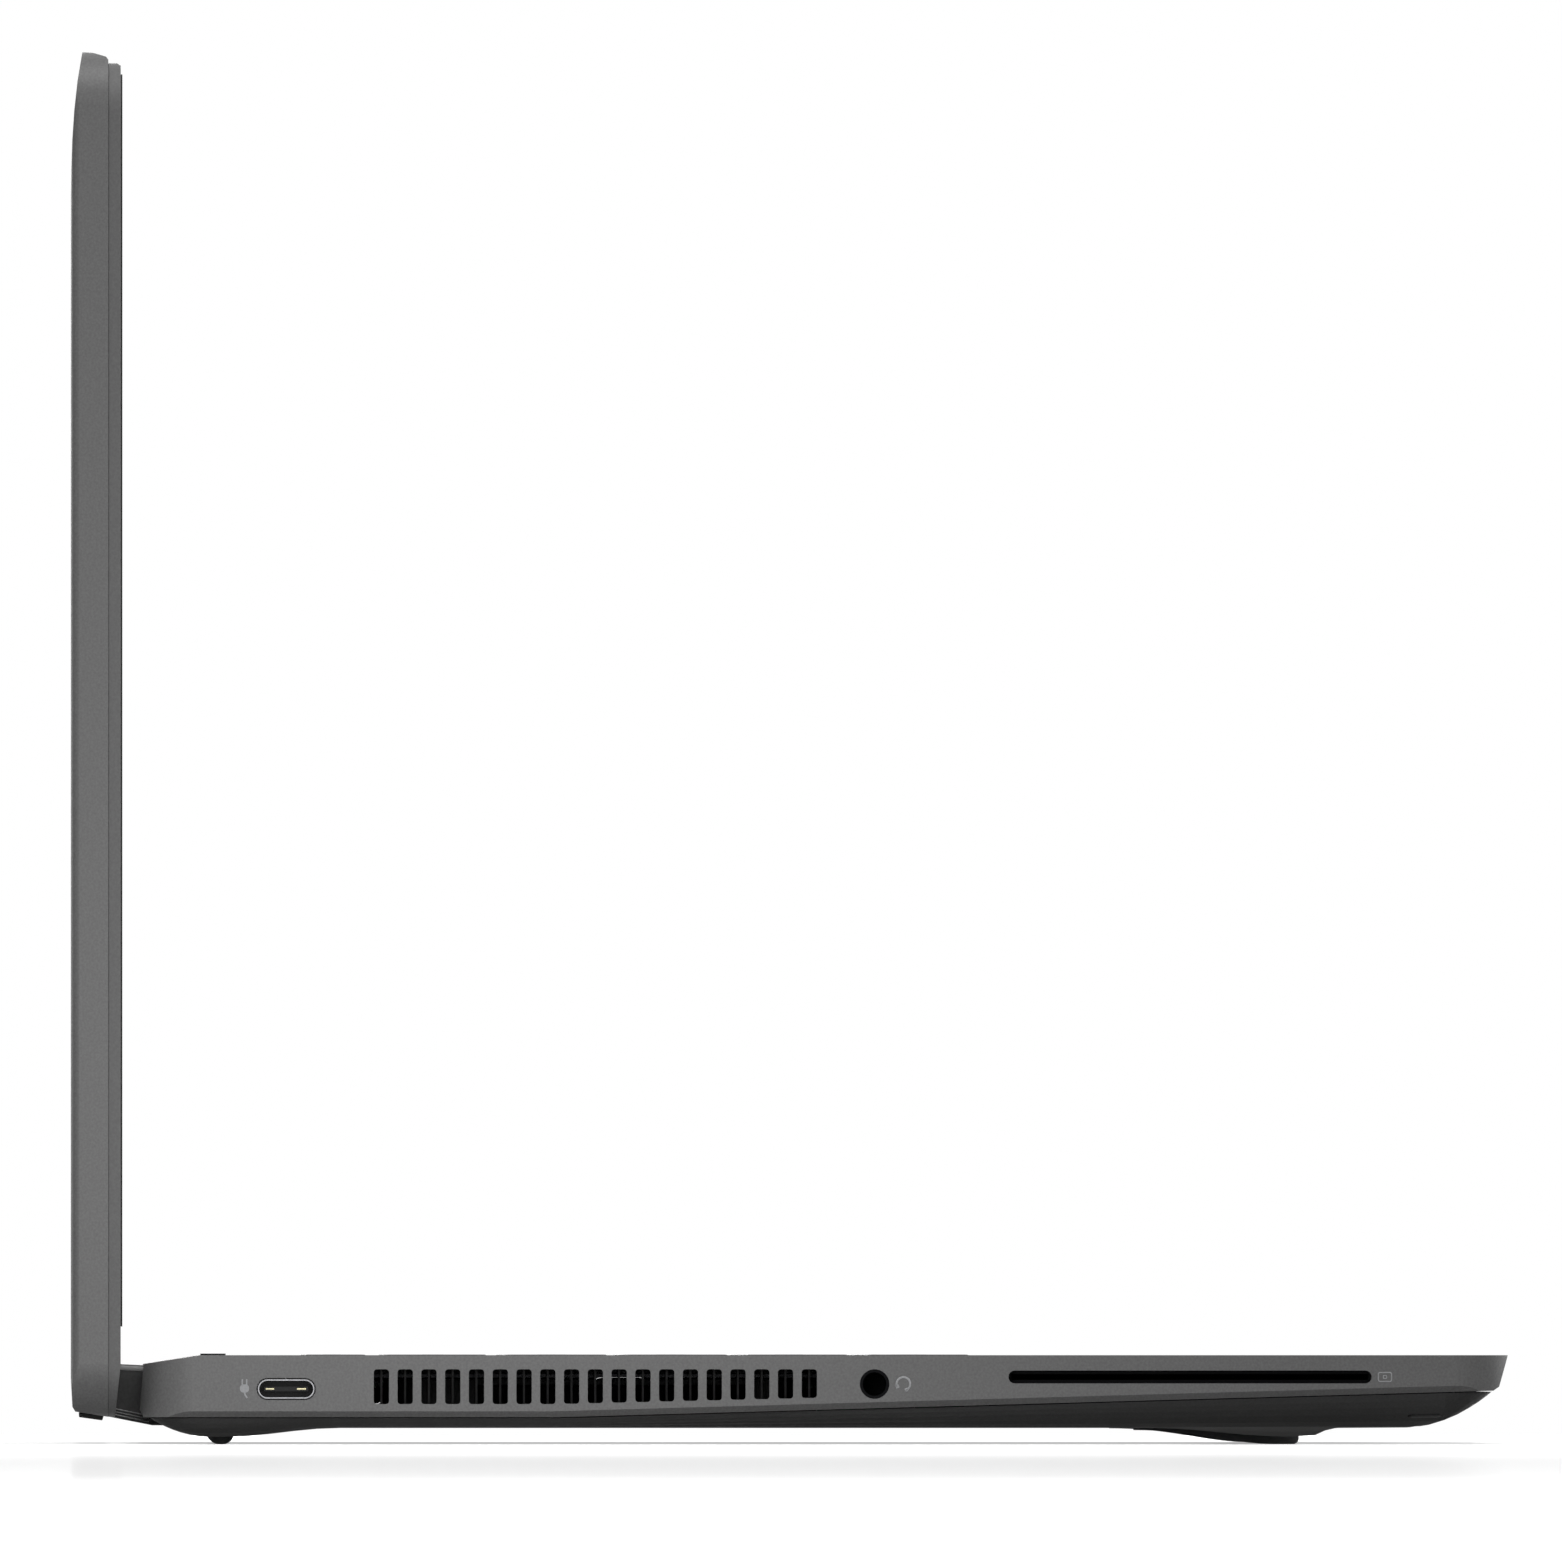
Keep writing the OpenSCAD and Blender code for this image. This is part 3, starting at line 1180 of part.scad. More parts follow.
// The dark strip along the lid's lower edge.
module lid_trim_strip() {
    front = lid_face + bezel_t + 0.7;
    back = lid_back - 1.25;
    color([0.1, 0.1, 0.11]) from_front() along_x(-body_w / 2 + 12, body_w / 2 - 12) polygon([
        [front, lid_bottom + 0.1], [front + 0.2, lid_bottom - 0.55],
        [back, lid_bottom - 0.05], [back + 0.05, lid_bottom + 0.68]
    ]);
}
module display_bezel() {
    outer = body_w - 2 * bezel_inset;
    top = lid_top - 1.7;
    back = lid_face + bezel_t;
    screen_low = lid_top - screen_from_top - screen_h;
    color([0.3, 0.31, 0.33]) from_front() difference() {
        intersection() {
            upright(outer, lid_bottom, top, lid_face, back, corner_r - bezel_inset);
            along_x(-body_w / 2, body_w / 2) polygon([
                [lid_face + 0.85, lid_bottom], [lid_face, lid_bottom + 7.8], [lid_face, top - 0.4],
                [lid_face + 0.6, top], [back, top], [back, lid_bottom]
            ]);
        }
        upright(outer - 2 * bezel_rim, lid_bottom + 9.5, top - bezel_rim,
            panel_front - snug, back + 1, corner_r - bezel_inset - bezel_rim);
        upright(screen_w, screen_low, screen_low + screen_h, lid_face - 1, back, 0.6);
        both_sides() block([notch_near, lid_face - 1, lid_bottom - 1],
            [notch_far, back + 1, axis_z + cover_r + 0.9]);
        // camera window, with the shutter's slot and the pocket behind it
        bar_y(1.6, 0, lid_face - 1, back, camera_z);
        translate([shutter_x + nub_x - shutter_travel / 2, back, camera_z]) rotate([90, 0, 0])
            linear_extrude(bezel_t + 1) rounded(shutter_travel + 1.5, 1.3, 0.6);
        translate([shutter_x + (shutter_len - shutter_travel) / 2, panel_front, camera_z])
            rotate([90, 0, 0]) linear_extrude(shutter_t + 0.15)
                square([shutter_len + shutter_travel + 0.4, shutter_h + 0.3], center = true);
    }
}
module bezel_gasket() {
    outer = body_w - 2 * bezel_inset - 3;
    wide = 1.2;
    low = lid_bottom + 13.9;
    top = lid_top - 3.4;
    r = corner_r - 2;
    color([0.08, 0.08, 0.09]) from_front() difference() {
        upright(outer, low, top, lid_face - gasket_h, lid_face, r);
        upright(outer - 2 * wide, low + wide, top - wide, lid_face - 1, lid_face + 1, r - wide);
    }
}
module lcd_panel() {
    color([0.03, 0.03, 0.035]) from_front() union() {
        upright(2 * panel_half, panel_low, panel_high, panel_front, panel_back, 0.8);
        block([-40, panel_back - 0.1, panel_low + 2], [40, panel_back + 0.9, panel_low + 10]);
    }
}
module camera_module() {
    color([0.05, 0.05, 0.06]) from_front() union() {
        block([-20, panel_front + 0.15, camera_z - 2], [20, panel_front + 0.95, camera_z + 2]);
        bar_y(1.4, 0, panel_front + 0.05, panel_front + 0.5, camera_z);
    }
}
module camera_shutter() {
    y = panel_front - 0.05;
    color([0.6, 0.2, 0.15]) from_front() union() {
        block([shutter_x, y - shutter_t, camera_z - shutter_h / 2],
            [shutter_x + shutter_len, y, camera_z + shutter_h / 2]);
        block([shutter_x + nub_x - 0.5, lid_face - gasket_h + 0.05, camera_z - 0.5],
            [shutter_x + nub_x + 0.5, y - 0.1, camera_z + 0.5]);
    }
}

// Radio strips beside the camera, on the back of the bezel.
module antennas() {
    color([0.55, 0.5, 0.3]) from_front() both_sides()
        block([55, panel_front, camera_z - 2], [100, panel_front + 0.3, camera_z + 2]);
}

// The picture's cable turns in the left hinge cover, on the hinge axis.
module display_cable() {
    x = cover_far - 13;
    far = panel_back + snug + cable_r;
    color([0.12, 0.12, 0.13]) from_front() mirror([1, 0, 0]) union() {
        bar_x(cable_r, x, cover_far, axis_d, axis_z);
        translate([x, axis_d, axis_z]) sphere(cable_r);
        bar_y(cable_r, x, axis_d, far, axis_z);
        translate([x, far, axis_z]) sphere(cable_r);
        post(cable_r, x, far, axis_z, panel_low + 6);
        translate([x, far, panel_low + 6]) sphere(cable_r);
        bar_x(cable_r, 40, x, far, panel_low + 6);
    }
}
module display_cable_tail() {
    x = cover_far + 3;
    near = board_rear - 2;
    color([0.12, 0.12, 0.13]) from_front() mirror([1, 0, 0]) union() {
        bar_x(cable_r, cover_far + 0.15, x, axis_d, axis_z);
        translate([x, axis_d, axis_z]) sphere(cable_r);
        bar_y(cable_r, x, near, axis_d, axis_z);
        block([x - 3, near - 3, board_bottom - 2.2], [x + 3, near + 0.5, board_bottom]);
    }
}

top_case();
bottom_cover();
keyboard_lattice();
keyboard_plate();
dome_sheet();
function_keys();
number_keys();
backspace_key();
tab_key();
upper_letter_keys();
backslash_key();
caps_lock_key();
home_letter_keys();
enter_key();
left_shift_key();
lower_letter_keys();
right_shift_key();
modifier_keys();
space_bar();
left_arrow_key();
up_arrow_key();
down_arrow_key();
right_arrow_key();
power_button();
touchpad_glass();
touchpad_board();
touchpad_bracket();
usb_c_left();
usb_c_right();
headset_jack();
smart_card_reader();
hdmi_port();
usb_a_port();
motherboard();
heat_pipe();
radiator_fins();
fan_housing();
fan_rotor();
battery_pack();
solid_state_drive();
wireless_card();
speakers();
display_cable_tail();
front_foot();
rear_foot();
deck_bumpers();
bottom_screws();
hinge_brackets();
lid_cover();
display_bezel();
bezel_gasket();
lcd_panel();
camera_module();
camera_shutter();
hinge_arms();
hinge_pins();
hinge_covers();
lid_trim_strip();
display_cable();
antennas();
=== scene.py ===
# A clamshell laptop computer with its lid upright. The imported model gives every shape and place,
# and this script gives the finishes, the signs and legends, the small trim, the studio and the camera.
import math

import bmesh
import bpy
from mathutils import Matrix, Vector
from mathutils.bvhtree import BVHTree


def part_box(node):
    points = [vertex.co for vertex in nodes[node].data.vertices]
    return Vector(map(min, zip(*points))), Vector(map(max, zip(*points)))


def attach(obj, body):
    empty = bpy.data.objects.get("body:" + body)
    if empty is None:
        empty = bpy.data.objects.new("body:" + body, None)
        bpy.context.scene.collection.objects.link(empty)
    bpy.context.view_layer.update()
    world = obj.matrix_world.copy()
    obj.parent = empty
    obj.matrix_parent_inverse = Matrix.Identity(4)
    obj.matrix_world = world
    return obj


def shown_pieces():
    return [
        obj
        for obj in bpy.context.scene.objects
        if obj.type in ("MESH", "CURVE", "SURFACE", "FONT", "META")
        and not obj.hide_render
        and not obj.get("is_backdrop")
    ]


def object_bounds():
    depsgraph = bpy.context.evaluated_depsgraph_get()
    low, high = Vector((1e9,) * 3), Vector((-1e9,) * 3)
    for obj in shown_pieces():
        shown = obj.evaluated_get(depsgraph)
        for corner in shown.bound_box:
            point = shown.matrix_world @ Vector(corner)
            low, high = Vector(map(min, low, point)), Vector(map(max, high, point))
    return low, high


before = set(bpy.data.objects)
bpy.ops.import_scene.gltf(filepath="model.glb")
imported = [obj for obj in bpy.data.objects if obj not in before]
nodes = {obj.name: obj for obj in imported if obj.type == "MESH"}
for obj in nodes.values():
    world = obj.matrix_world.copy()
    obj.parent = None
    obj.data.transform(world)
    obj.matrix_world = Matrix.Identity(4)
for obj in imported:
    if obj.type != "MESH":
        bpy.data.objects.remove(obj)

cad_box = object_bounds()
mm = 0.001

# ---- The camera ----
# The photograph looks square on at the left side from far away, level with the deck and in line
# with the screen, so that both show edge on. A very long lens gives that nearly flat view.
W, H = 1562, 1562
L = max(W, H)
image_points = {
    "lid_back": (70.8, None),
    "front_edge": (1509, None),
    "lid_top": (None, 51),
    "foot_bottom": (None, 1444.5),
    "charging_port": (285.8, 1389),
    "rear_vent": (382.1, 1386.5),
    "front_vent": (810.3, 1384.2),
    "headset_port": (874.4, 1384),
    "card_slot": (1190.6, 1377),
    "plug_sign": (244.5, 1388.5),
    "headset_sign": (903.5, 1384),
    "card_sign": (1385, 1377),
    "rear_foot": (219.5, None),
}
near_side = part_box("top_case")[0].x
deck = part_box("top_case")[1].z
screen_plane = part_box("display_bezel")[0].y
front = cad_box[0].y
pixels_per_metre = (image_points["front_edge"][0] - image_points["lid_back"][0]) / (cad_box[1].y - front)

camera = bpy.data.objects.new("camera", bpy.data.cameras.new("camera"))
bpy.context.scene.collection.objects.link(camera)
bpy.context.scene.camera = camera
camera.data.sensor_fit = "AUTO"
camera.data.sensor_width = 36
camera.data.lens = 1500
camera_distance = L * camera.data.lens / camera.data.sensor_width / pixels_per_metre
aim = Vector((
    near_side,
    front + (image_points["front_edge"][0] - W / 2) / pixels_per_metre,
    (image_points["foot_bottom"][1] - H / 2) / pixels_per_metre,
))
camera.location = (near_side - camera_distance, screen_plane, deck)
camera.rotation_euler = (aim - camera.location).to_track_quat("-Z", "Y").to_euler()
camera.data.clip_start = 0.1
camera.data.clip_end = 100
bpy.context.view_layer.update()


# ---- The studio ----
# A white table in a white room. Where it is seen it glows, so that it shows white, its matt part
# takes the laptop's shadow, and a thin mirror share gives the faint reflection.
def add(tree, kind, settings=(), **inputs):
    """Adds one node, with its settings, and sets or links its inputs by their names."""
    made = tree.nodes.new(kind)
    for name, value in dict(settings).items():
        setattr(made, name, value)
    for name, value in inputs.items():
        spot = int(name[1:]) if name[1:].isdigit() else name.replace("_", " ")
        if isinstance(value, bpy.types.NodeSocket):
            tree.links.new(value, made.inputs[spot])
        else:
            made.inputs[spot].default_value = value
    return made


def seen_directly(tree):
    """1 for rays from the camera, in mirrors and through glass, 0 for those that light the object."""
    path = add(tree, "ShaderNodeLightPath")
    mirrored = add(tree, "ShaderNodeMath", {"operation": "MAXIMUM"},
                   i0=path.outputs["Is Camera Ray"], i1=path.outputs["Is Glossy Ray"])
    return add(tree, "ShaderNodeMath", {"operation": "MAXIMUM"},
               i0=mirrored.outputs[0], i1=path.outputs["Is Transmission Ray"]).outputs[0]


world = bpy.data.worlds.new("white_room")
bpy.context.scene.world = world
world.use_nodes = True
room = world.node_tree
room.nodes.clear()
room_light = 0.12
strength = add(room, "ShaderNodeMapRange", i0=seen_directly(room), i3=room_light, i4=1.0)
walls = add(room, "ShaderNodeBackground", Color=(1, 1, 1, 1), Strength=strength.outputs[0])
add(room, "ShaderNodeOutputWorld", Surface=walls.outputs[0])

# the table runs on towards the camera, so that the laptop's reflection has room
floor_half = 0.95
floor_near = -6
floor_mesh = bpy.data.meshes.new("floor")
floor_mesh.from_pydata(
    [(floor_near, -floor_half, 0), (floor_half, -floor_half, 0),
     (floor_half, floor_half, 0), (floor_near, floor_half, 0)], [], [(0, 1, 2, 3)])
floor = bpy.data.objects.new("floor", floor_mesh)
bpy.context.scene.collection.objects.link(floor)
floor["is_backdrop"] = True
white_table = bpy.data.materials.new("white_table")
white_table.use_nodes = True
table = white_table.node_tree
table.nodes.clear()
matt = add(table, "ShaderNodeBsdfDiffuse", Color=(0.9, 0.9, 0.9, 1))
# The glow rises where the lamps no longer reach. Further out it falls enough for the laptop's
# reflection to show, and then rises to hide it. Each step lies between two distances in metres.
spread = add(table, "ShaderNodeVectorMath", {"operation": "LENGTH"},
             i0=add(table, "ShaderNodeTexCoord").outputs["Object"])
glow = 0.5
for start, end, rise in ((0.3, 0.8, 0.25), (0.95, 1.4, -0.04), (1.5, 3.5, 0.35), (2.7, 3.6, 0.35)):
    step = add(table, "ShaderNodeMapRange", i0=spread.outputs["Value"], i1=start, i2=end, i4=rise)
    glow = add(table, "ShaderNodeMath", i0=glow, i1=step.outputs[0]).outputs[0]
lit = add(table, "ShaderNodeEmission", Strength=glow)
shown = add(table, "ShaderNodeAddShader", i0=matt.outputs[0], i1=lit.outputs[0])
mirror = add(table, "ShaderNodeBsdfGlossy", Roughness=0.03)
mirror_share = 0.2
polished = add(table, "ShaderNodeMixShader", i0=mirror_share, i1=shown.outputs[0], i2=mirror.outputs[0])
# a dark grey for the light that it throws back, so that undersides stay dark
bounce = add(table, "ShaderNodeBsdfDiffuse", Color=(0.08, 0.08, 0.08, 1))
either = add(table, "ShaderNodeMixShader",
             i0=seen_directly(table), i1=bounce.outputs[0], i2=polished.outputs[0])
add(table, "ShaderNodeOutputMaterial", Surface=either.outputs[0])
floor_mesh.materials.append(white_table)


def softbox(name, place, target, size, level):
    """A square lamp that lights a surface facing it at the target to that level, 1 being full."""
    lamp = bpy.data.lights.new(name, "AREA")
    lamp.size = size
    reach = (Vector(target) - Vector(place)).length
    # a small lamp of P watts lights a white surface at distance d to P / (pi * d) ** 2
    lamp.energy = level * (math.pi * reach) ** 2
    holder = bpy.data.objects.new(name, lamp)
    bpy.context.scene.collection.objects.link(holder)
    holder.location = place
    holder.rotation_euler = (Vector(target) - Vector(place)).to_track_quat("-Z", "Y").to_euler()
    holder.visible_camera = False


# close to the hinge corner, so that the near side darkens towards its front and the lid's top
softbox("side_light", (near_side - 0.2, 0.06, 0.03), (near_side, 0.06, 0.03), 0.12, 0.56)
softbox("lid_side_light", (near_side - 0.45, 0.12, 0.2), (near_side, 0.1, 0.12), 0.3, 0.16)
softbox("top_light", (-0.5, -0.05, 1.15), (0, 0, 0), 0.7, 0.6)
softbox("front_light", (0.4, -1.2, 0.5), (0, 0, 0.1), 0.7, 0.5)
softbox("right_light", (1.2, -0.1, 0.35), (0.16, 0, 0.05), 0.6, 0.6)
softbox("rear_light", (0.9, 1.1, 0.5), (0, 0.1, 0.1), 0.7, 0.75)

scene = bpy.context.scene
scene.view_settings.view_transform = "Standard"


# ---- Aluminium shells: top_case and lid_cover ----
# Both are pressed aluminium sheet, blasted and then painted a dark silver grey. The paint is matt
# and carries fine flakes, which give it a light grain and a soft sheen along the edges.
def linear(hex_colour):
    """An sRGB hex colour as the linear colour that a shader takes."""
    parts = [int(hex_colour[i:i + 2], 16) / 255 for i in (1, 3, 5)]
    return [p / 12.92 if p <= 0.04045 else ((p + 0.055) / 1.055) ** 2.4 for p in parts] + [1]


def new_finish(name):
    """An empty material: gives it, its tree, its Principled shader and the place on the object."""
    finish = bpy.data.materials.new(name)
    finish.use_nodes = True
    tree = finish.node_tree
    tree.nodes.clear()
    shader = add(tree, "ShaderNodeBsdfPrincipled")
    add(tree, "ShaderNodeOutputMaterial", Surface=shader.outputs[0])
    place = add(tree, "ShaderNodeTexCoord").outputs["Object"]
    return finish, tree, shader, place


def speckle(tree, place, size_mm, detail=2):
    """Noise whose blotches are about that size."""
    return add(tree, "ShaderNodeTexNoise", Vector=place, Scale=1 / (size_mm * mm), Detail=detail)


def two_tones(tree, factor, dark, light, low=0.3, high=0.7):
    """A colour that goes from dark to light as the factor rises."""
    ramp = add(tree, "ShaderNodeValToRGB", Fac=factor)
    ramp.color_ramp.elements[0].position = low
    ramp.color_ramp.elements[0].color = linear(dark)
    ramp.color_ramp.elements[1].position = high
    ramp.color_ramp.elements[1].color = linear(light)
    return ramp.outputs["Color"]


def relief(tree, shader, height, depth_mm, strength):
    """Bump of that depth on the shader."""
    bump = add(tree, "ShaderNodeBump", Height=height, Distance=depth_mm * mm, Strength=strength)
    tree.links.new(bump.outputs[0], shader.inputs["Normal"])


def painted_aluminium():
    finish, tree, shader, place = new_finish("painted_aluminium")
    # real flakes are 0.03 mm and can't show; they are drawn 0.35 mm across
    flakes = speckle(tree, place, 0.35)
    tint = two_tones(tree, flakes.outputs["Fac"], "#686868", "#737373")
    tree.links.new(tint, shader.inputs["Base Color"])
    shader.inputs["Metallic"].default_value = 0.06
    shader.inputs["Roughness"].default_value = 0.46
    shader.inputs["Specular IOR Level"].default_value = 0.15
    relief(tree, shader, flakes.outputs["Fac"], 0.01, 0.25)
    return finish


def dress(finish, *names):
    """Gives the finish to CAD nodes."""
    for name in names:
        mesh = nodes[name].data
        mesh.materials.clear()
        mesh.materials.append(finish)


dress(painted_aluminium(), "top_case", "lid_cover")


# ---- Printed signs on the near side: plug, headset and card ----
# Small pictograms in pale grey ink, pad printed beside the sockets. They show what goes in where.
ink_mm = 0.02


def stroke(lines, width_mm, thick_mm=ink_mm):
    """Flat-ended lines of that width as one flat closed mesh; a line that ends at its start is a loop."""
    curve = bpy.data.curves.new("stroke", "CURVE")
    curve.dimensions = "3D"
    curve.bevel_depth = width_mm / 2 * mm
    curve.bevel_resolution = 2
    curve.use_fill_caps = True
    for line in lines:
        loop = line[0] == line[-1]
        places = line[:-1] if loop else line
        spline = curve.splines.new("POLY")
        spline.points.add(len(places) - 1)
        spline.use_cyclic_u = loop
        for point, (across, up) in zip(spline.points, places):
            point.co = (across * mm, up * mm, 0, 1)
    mesh = bpy.data.meshes.new_from_object(bpy.data.objects.new("stroke", curve))
    mesh.transform(Matrix.Diagonal((1, 1, thick_mm / width_mm, 1)))
    return mesh


def plate(outline, thick_mm=ink_mm):
    """A closed outline, given anticlockwise, filled in and given that thickness."""
    body = bmesh.new()
    low, high = [[body.verts.new((x * mm, y * mm, z * mm)) for x, y in outline[:-1]]
                 for z in (-thick_mm / 2, thick_mm / 2)]
    body.faces.new(low[::-1])
    body.faces.new(high)
    for i in range(len(low)):
        body.faces.new((low[i - 1], low[i], high[i], high[i - 1]))
    mesh = bpy.data.meshes.new("plate")
    body.to_mesh(mesh)
    body.free()
    return mesh


def arc(radius, start=0, end=360, middle=(0, 0)):
    """Points of an arc, anticlockwise between two angles; a full turn ends exactly at its start."""
    point_every = 12
    steps = max(6, round((end - start) / point_every))
    points = [(middle[0] + radius * math.cos(math.radians(start + (end - start) * i / steps)),
               middle[1] + radius * math.sin(math.radians(start + (end - start) * i / steps)))
              for i in range(steps + 1)]
    return points[:-1] + points[:1] if end - start == 360 else points


def rounded(width, height, radius):
    """A closed outline of a rectangle with round corners."""
    x, y = width / 2 - radius, height / 2 - radius
    outline = []
    for turn, corner in enumerate([(x, y), (-x, y), (-x, -y), (x, -y)]):
        outline += arc(radius, 90 * turn, 90 * turn + 90, corner)
    return outline + outline[:1]


def made_piece(name, meshes, finish, body, place=(0, 0, 0), across=(1, 0, 0), up=(0, 1, 0)):
    """Joins flat meshes into one piece, lays it at the place with its two directions, and lets it ride."""
    joined = bmesh.new()
    for mesh in meshes:
        joined.from_mesh(mesh)
    across, up = Vector(across), Vector(up)
    turn = Matrix((across, up, across.cross(up))).transposed().to_4x4()
    joined.transform(Matrix.Translation(place) @ turn)
    mesh = bpy.data.meshes.new(name)
    joined.to_mesh(mesh)
    joined.free()
    mesh.materials.append(finish)
    piece = bpy.data.objects.new(name, mesh)
    bpy.context.scene.collection.objects.link(piece)
    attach(piece, body)


def surface_under(point, *carriers):
    """Where the ray through an image point meets the finished carriers, or comes nearest to them."""
    x, y = point
    across = x - W / 2 + camera.data.shift_x * L
    up = H / 2 - y + camera.data.shift_y * L
    ray = Vector((across, up, -L * camera.data.lens / camera.data.sensor_width)).normalized()
    ray = camera.matrix_world.to_3x3() @ ray
    start = camera.matrix_world.translation
    depsgraph = bpy.context.evaluated_depsgraph_get()
    hits = []
    for carrier in carriers:
        tree = BVHTree.FromObject(carrier, depsgraph)
        place = tree.ray_cast(start, ray)[0]
        if place is None:
            passing = start + ray * (aim - start).length
            place = tree.find_nearest(passing)[0]
        hits.append(place)
    return min(hits, key=lambda place: (place - start).length)


def printing_ink(name, dark, light):
    finish, tree, shader, place = new_finish(name)
    # the screen of the print leaves a faint unevenness about 0.2 mm across
    cover = speckle(tree, place, 0.2)
    tint = two_tones(tree, cover.outputs["Fac"], dark, light)
    tree.links.new(tint, shader.inputs["Base Color"])
    shader.inputs["Roughness"].default_value = 0.6
    shader.inputs["Specular IOR Level"].default_value = 0.2
    return finish


sign_ink = printing_ink("sign_ink", "#9fa0a2", "#acadaf")
to_front = (0, -1, 0)
upward = (0, 0, 1)
# all in mm round the sign's own middle
signs = {
    "plug_sign": [
        stroke([[(-0.33, 0.3), (-0.33, 1.4)], [(0.33, 0.3), (0.33, 1.4)]], 0.24),
        plate(rounded(1.4, 1.25, 0.55)),
        stroke([[(0, -0.5), (0.08, -1.0), (0.4, -1.45)]], 0.3),
    ],
    "headset_sign": [
        stroke([arc(1.03, -70, 205)], 0.34),
        stroke([[(0.28, -1.0), (0.66, -0.78)], [(-1.02, -0.12), (-0.84, -0.6)]], 0.55),
    ],
    "card_sign": [
        stroke([rounded(2.0, 1.35, 0.25)], 0.17),
        stroke([rounded(0.5, 0.45, 0.1)], 0.14),
    ],
}
for name, drawing in signs.items():
    made_piece(name, drawing, sign_ink, "base",
               surface_under(image_points[name], nodes["top_case"]), to_front, upward)


# ---- Moulded plastic: bottom cover, bezel, keyboard frame, hinge covers and inner pieces ----
# These are injection moulded from filled ABS in steel tools with an eroded texture, which leaves
# a fine even grain and a dull sheen.
def moulded_plastic(name, dark, light, grain_mm=0.4, roughness=0.55, sheen=0.25):
    finish, tree, shader, place = new_finish(name)
    grain = speckle(tree, place, grain_mm)
    tint = two_tones(tree, grain.outputs["Fac"], dark, light)
    tree.links.new(tint, shader.inputs["Base Color"])
    shader.inputs["Roughness"].default_value = roughness
    shader.inputs["Specular IOR Level"].default_value = sheen
    relief(tree, shader, grain.outputs["Fac"], 0.012, 0.3)
    return finish


def soften(width_mm, *names, from_angle=35, steps=2):
    """Rounds the edges of CAD nodes that are sharper than that angle, as tooling and paint leave them."""
    for name in names:
        node = nodes[name]
        weld = node.modifiers.new("weld", "WELD")
        weld.merge_threshold = 0.02 * mm
        flat = node.modifiers.new("flat", "DECIMATE")
        flat.decimate_type = "DISSOLVE"
        flat.angle_limit = math.radians(0.5)
        edge = node.modifiers.new("edge", "BEVEL")
        edge.width = width_mm * mm
        edge.segments = steps
        edge.limit_method = "ANGLE"
        edge.angle_limit = math.radians(from_angle)
        edge.use_clamp_overlap = False
        edge.loop_slide = False
        even = node.modifiers.new("even", "WEIGHTED_NORMAL")
        even.keep_sharp = True


dress(moulded_plastic("cover_abs", "#676767", "#6f6f6f", sheen=0.018), "bottom_cover")
dress(moulded_plastic("bezel_abs", "#696969", "#717171", sheen=0.15), "display_bezel")
hinge_abs = moulded_plastic("hinge_abs", "#3a3a3a", "#424242", sheen=0.15)
dress(hinge_abs, "hinge_covers", "lid_trim_strip")
dress(moulded_plastic("keyboard_frame_abs", "#1c1d1e", "#222324"), "keyboard_lattice")
dress(moulded_plastic("fan_pbt", "#161617", "#1c1c1d"), "fan_housing", "fan_rotor", "speakers")
soften(0.12, "display_bezel", "lid_trim_strip", "keyboard_lattice")
soften(0.3, "hinge_covers", steps=3)

# a bead along the top of each cover's outer end, and three thin ledges low on it, where its two
# halves are clipped together; their pale grey is painted highlight, for the light that the cover's
# top edge and the ledges catch. Their ends are in mm from the middle and up from the table
cover_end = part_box("hinge_covers")[1].x
ledge_step = 0.45
ledges = [[(-103.4, 4.65 + ledge_step * i), (-97.6, 3.45 + ledge_step * i)] for i in range(3)]
bead = [(-103.2, 11.75), (-96.8, 11.35)]
# pale grey: painted highlight on the bead and the ledges
painted_highlight_abs = moulded_plastic("painted_highlight_abs", "#858585", "#919191")
for side, name in ((-1, "left"), (1, "right")):
    low, top = [[[(-side * along, height) for along, height in line] for line in lines]
                for lines in (ledges, [bead])]
    made_piece(f"{name}_hinge_ledges", [stroke(low, 0.2, 0.3), stroke(top, 0.8, 0.3)],
               painted_highlight_abs, "lid",
               (side * cover_end, 0, 0), (0, side, 0), upward)


# ---- Key caps and power button ----
# Each cap is moulded in black plastic and coated with a soft satin lacquer, which fingers polish
# a little in patches.
def key_lacquer():
    finish, tree, shader, place = new_finish("key_lacquer")
    grain = speckle(tree, place, 0.3)
    tint = two_tones(tree, grain.outputs["Fac"], "#19191a", "#1f1f20")
    tree.links.new(tint, shader.inputs["Base Color"])
    worn = speckle(tree, place, 9)
    gloss = add(tree, "ShaderNodeMapRange", i0=worn.outputs["Fac"], i3=0.42, i4=0.56)
    tree.links.new(gloss.outputs[0], shader.inputs["Roughness"])
    shader.inputs["Specular IOR Level"].default_value = 0.3
    relief(tree, shader, grain.outputs["Fac"], 0.006, 0.3)
    return finish


key_nodes = [name for name in nodes if name.endswith(("_key", "_keys"))] + ["space_bar", "power_button"]
dress(key_lacquer(), *key_nodes)
soften(0.2, *key_nodes)


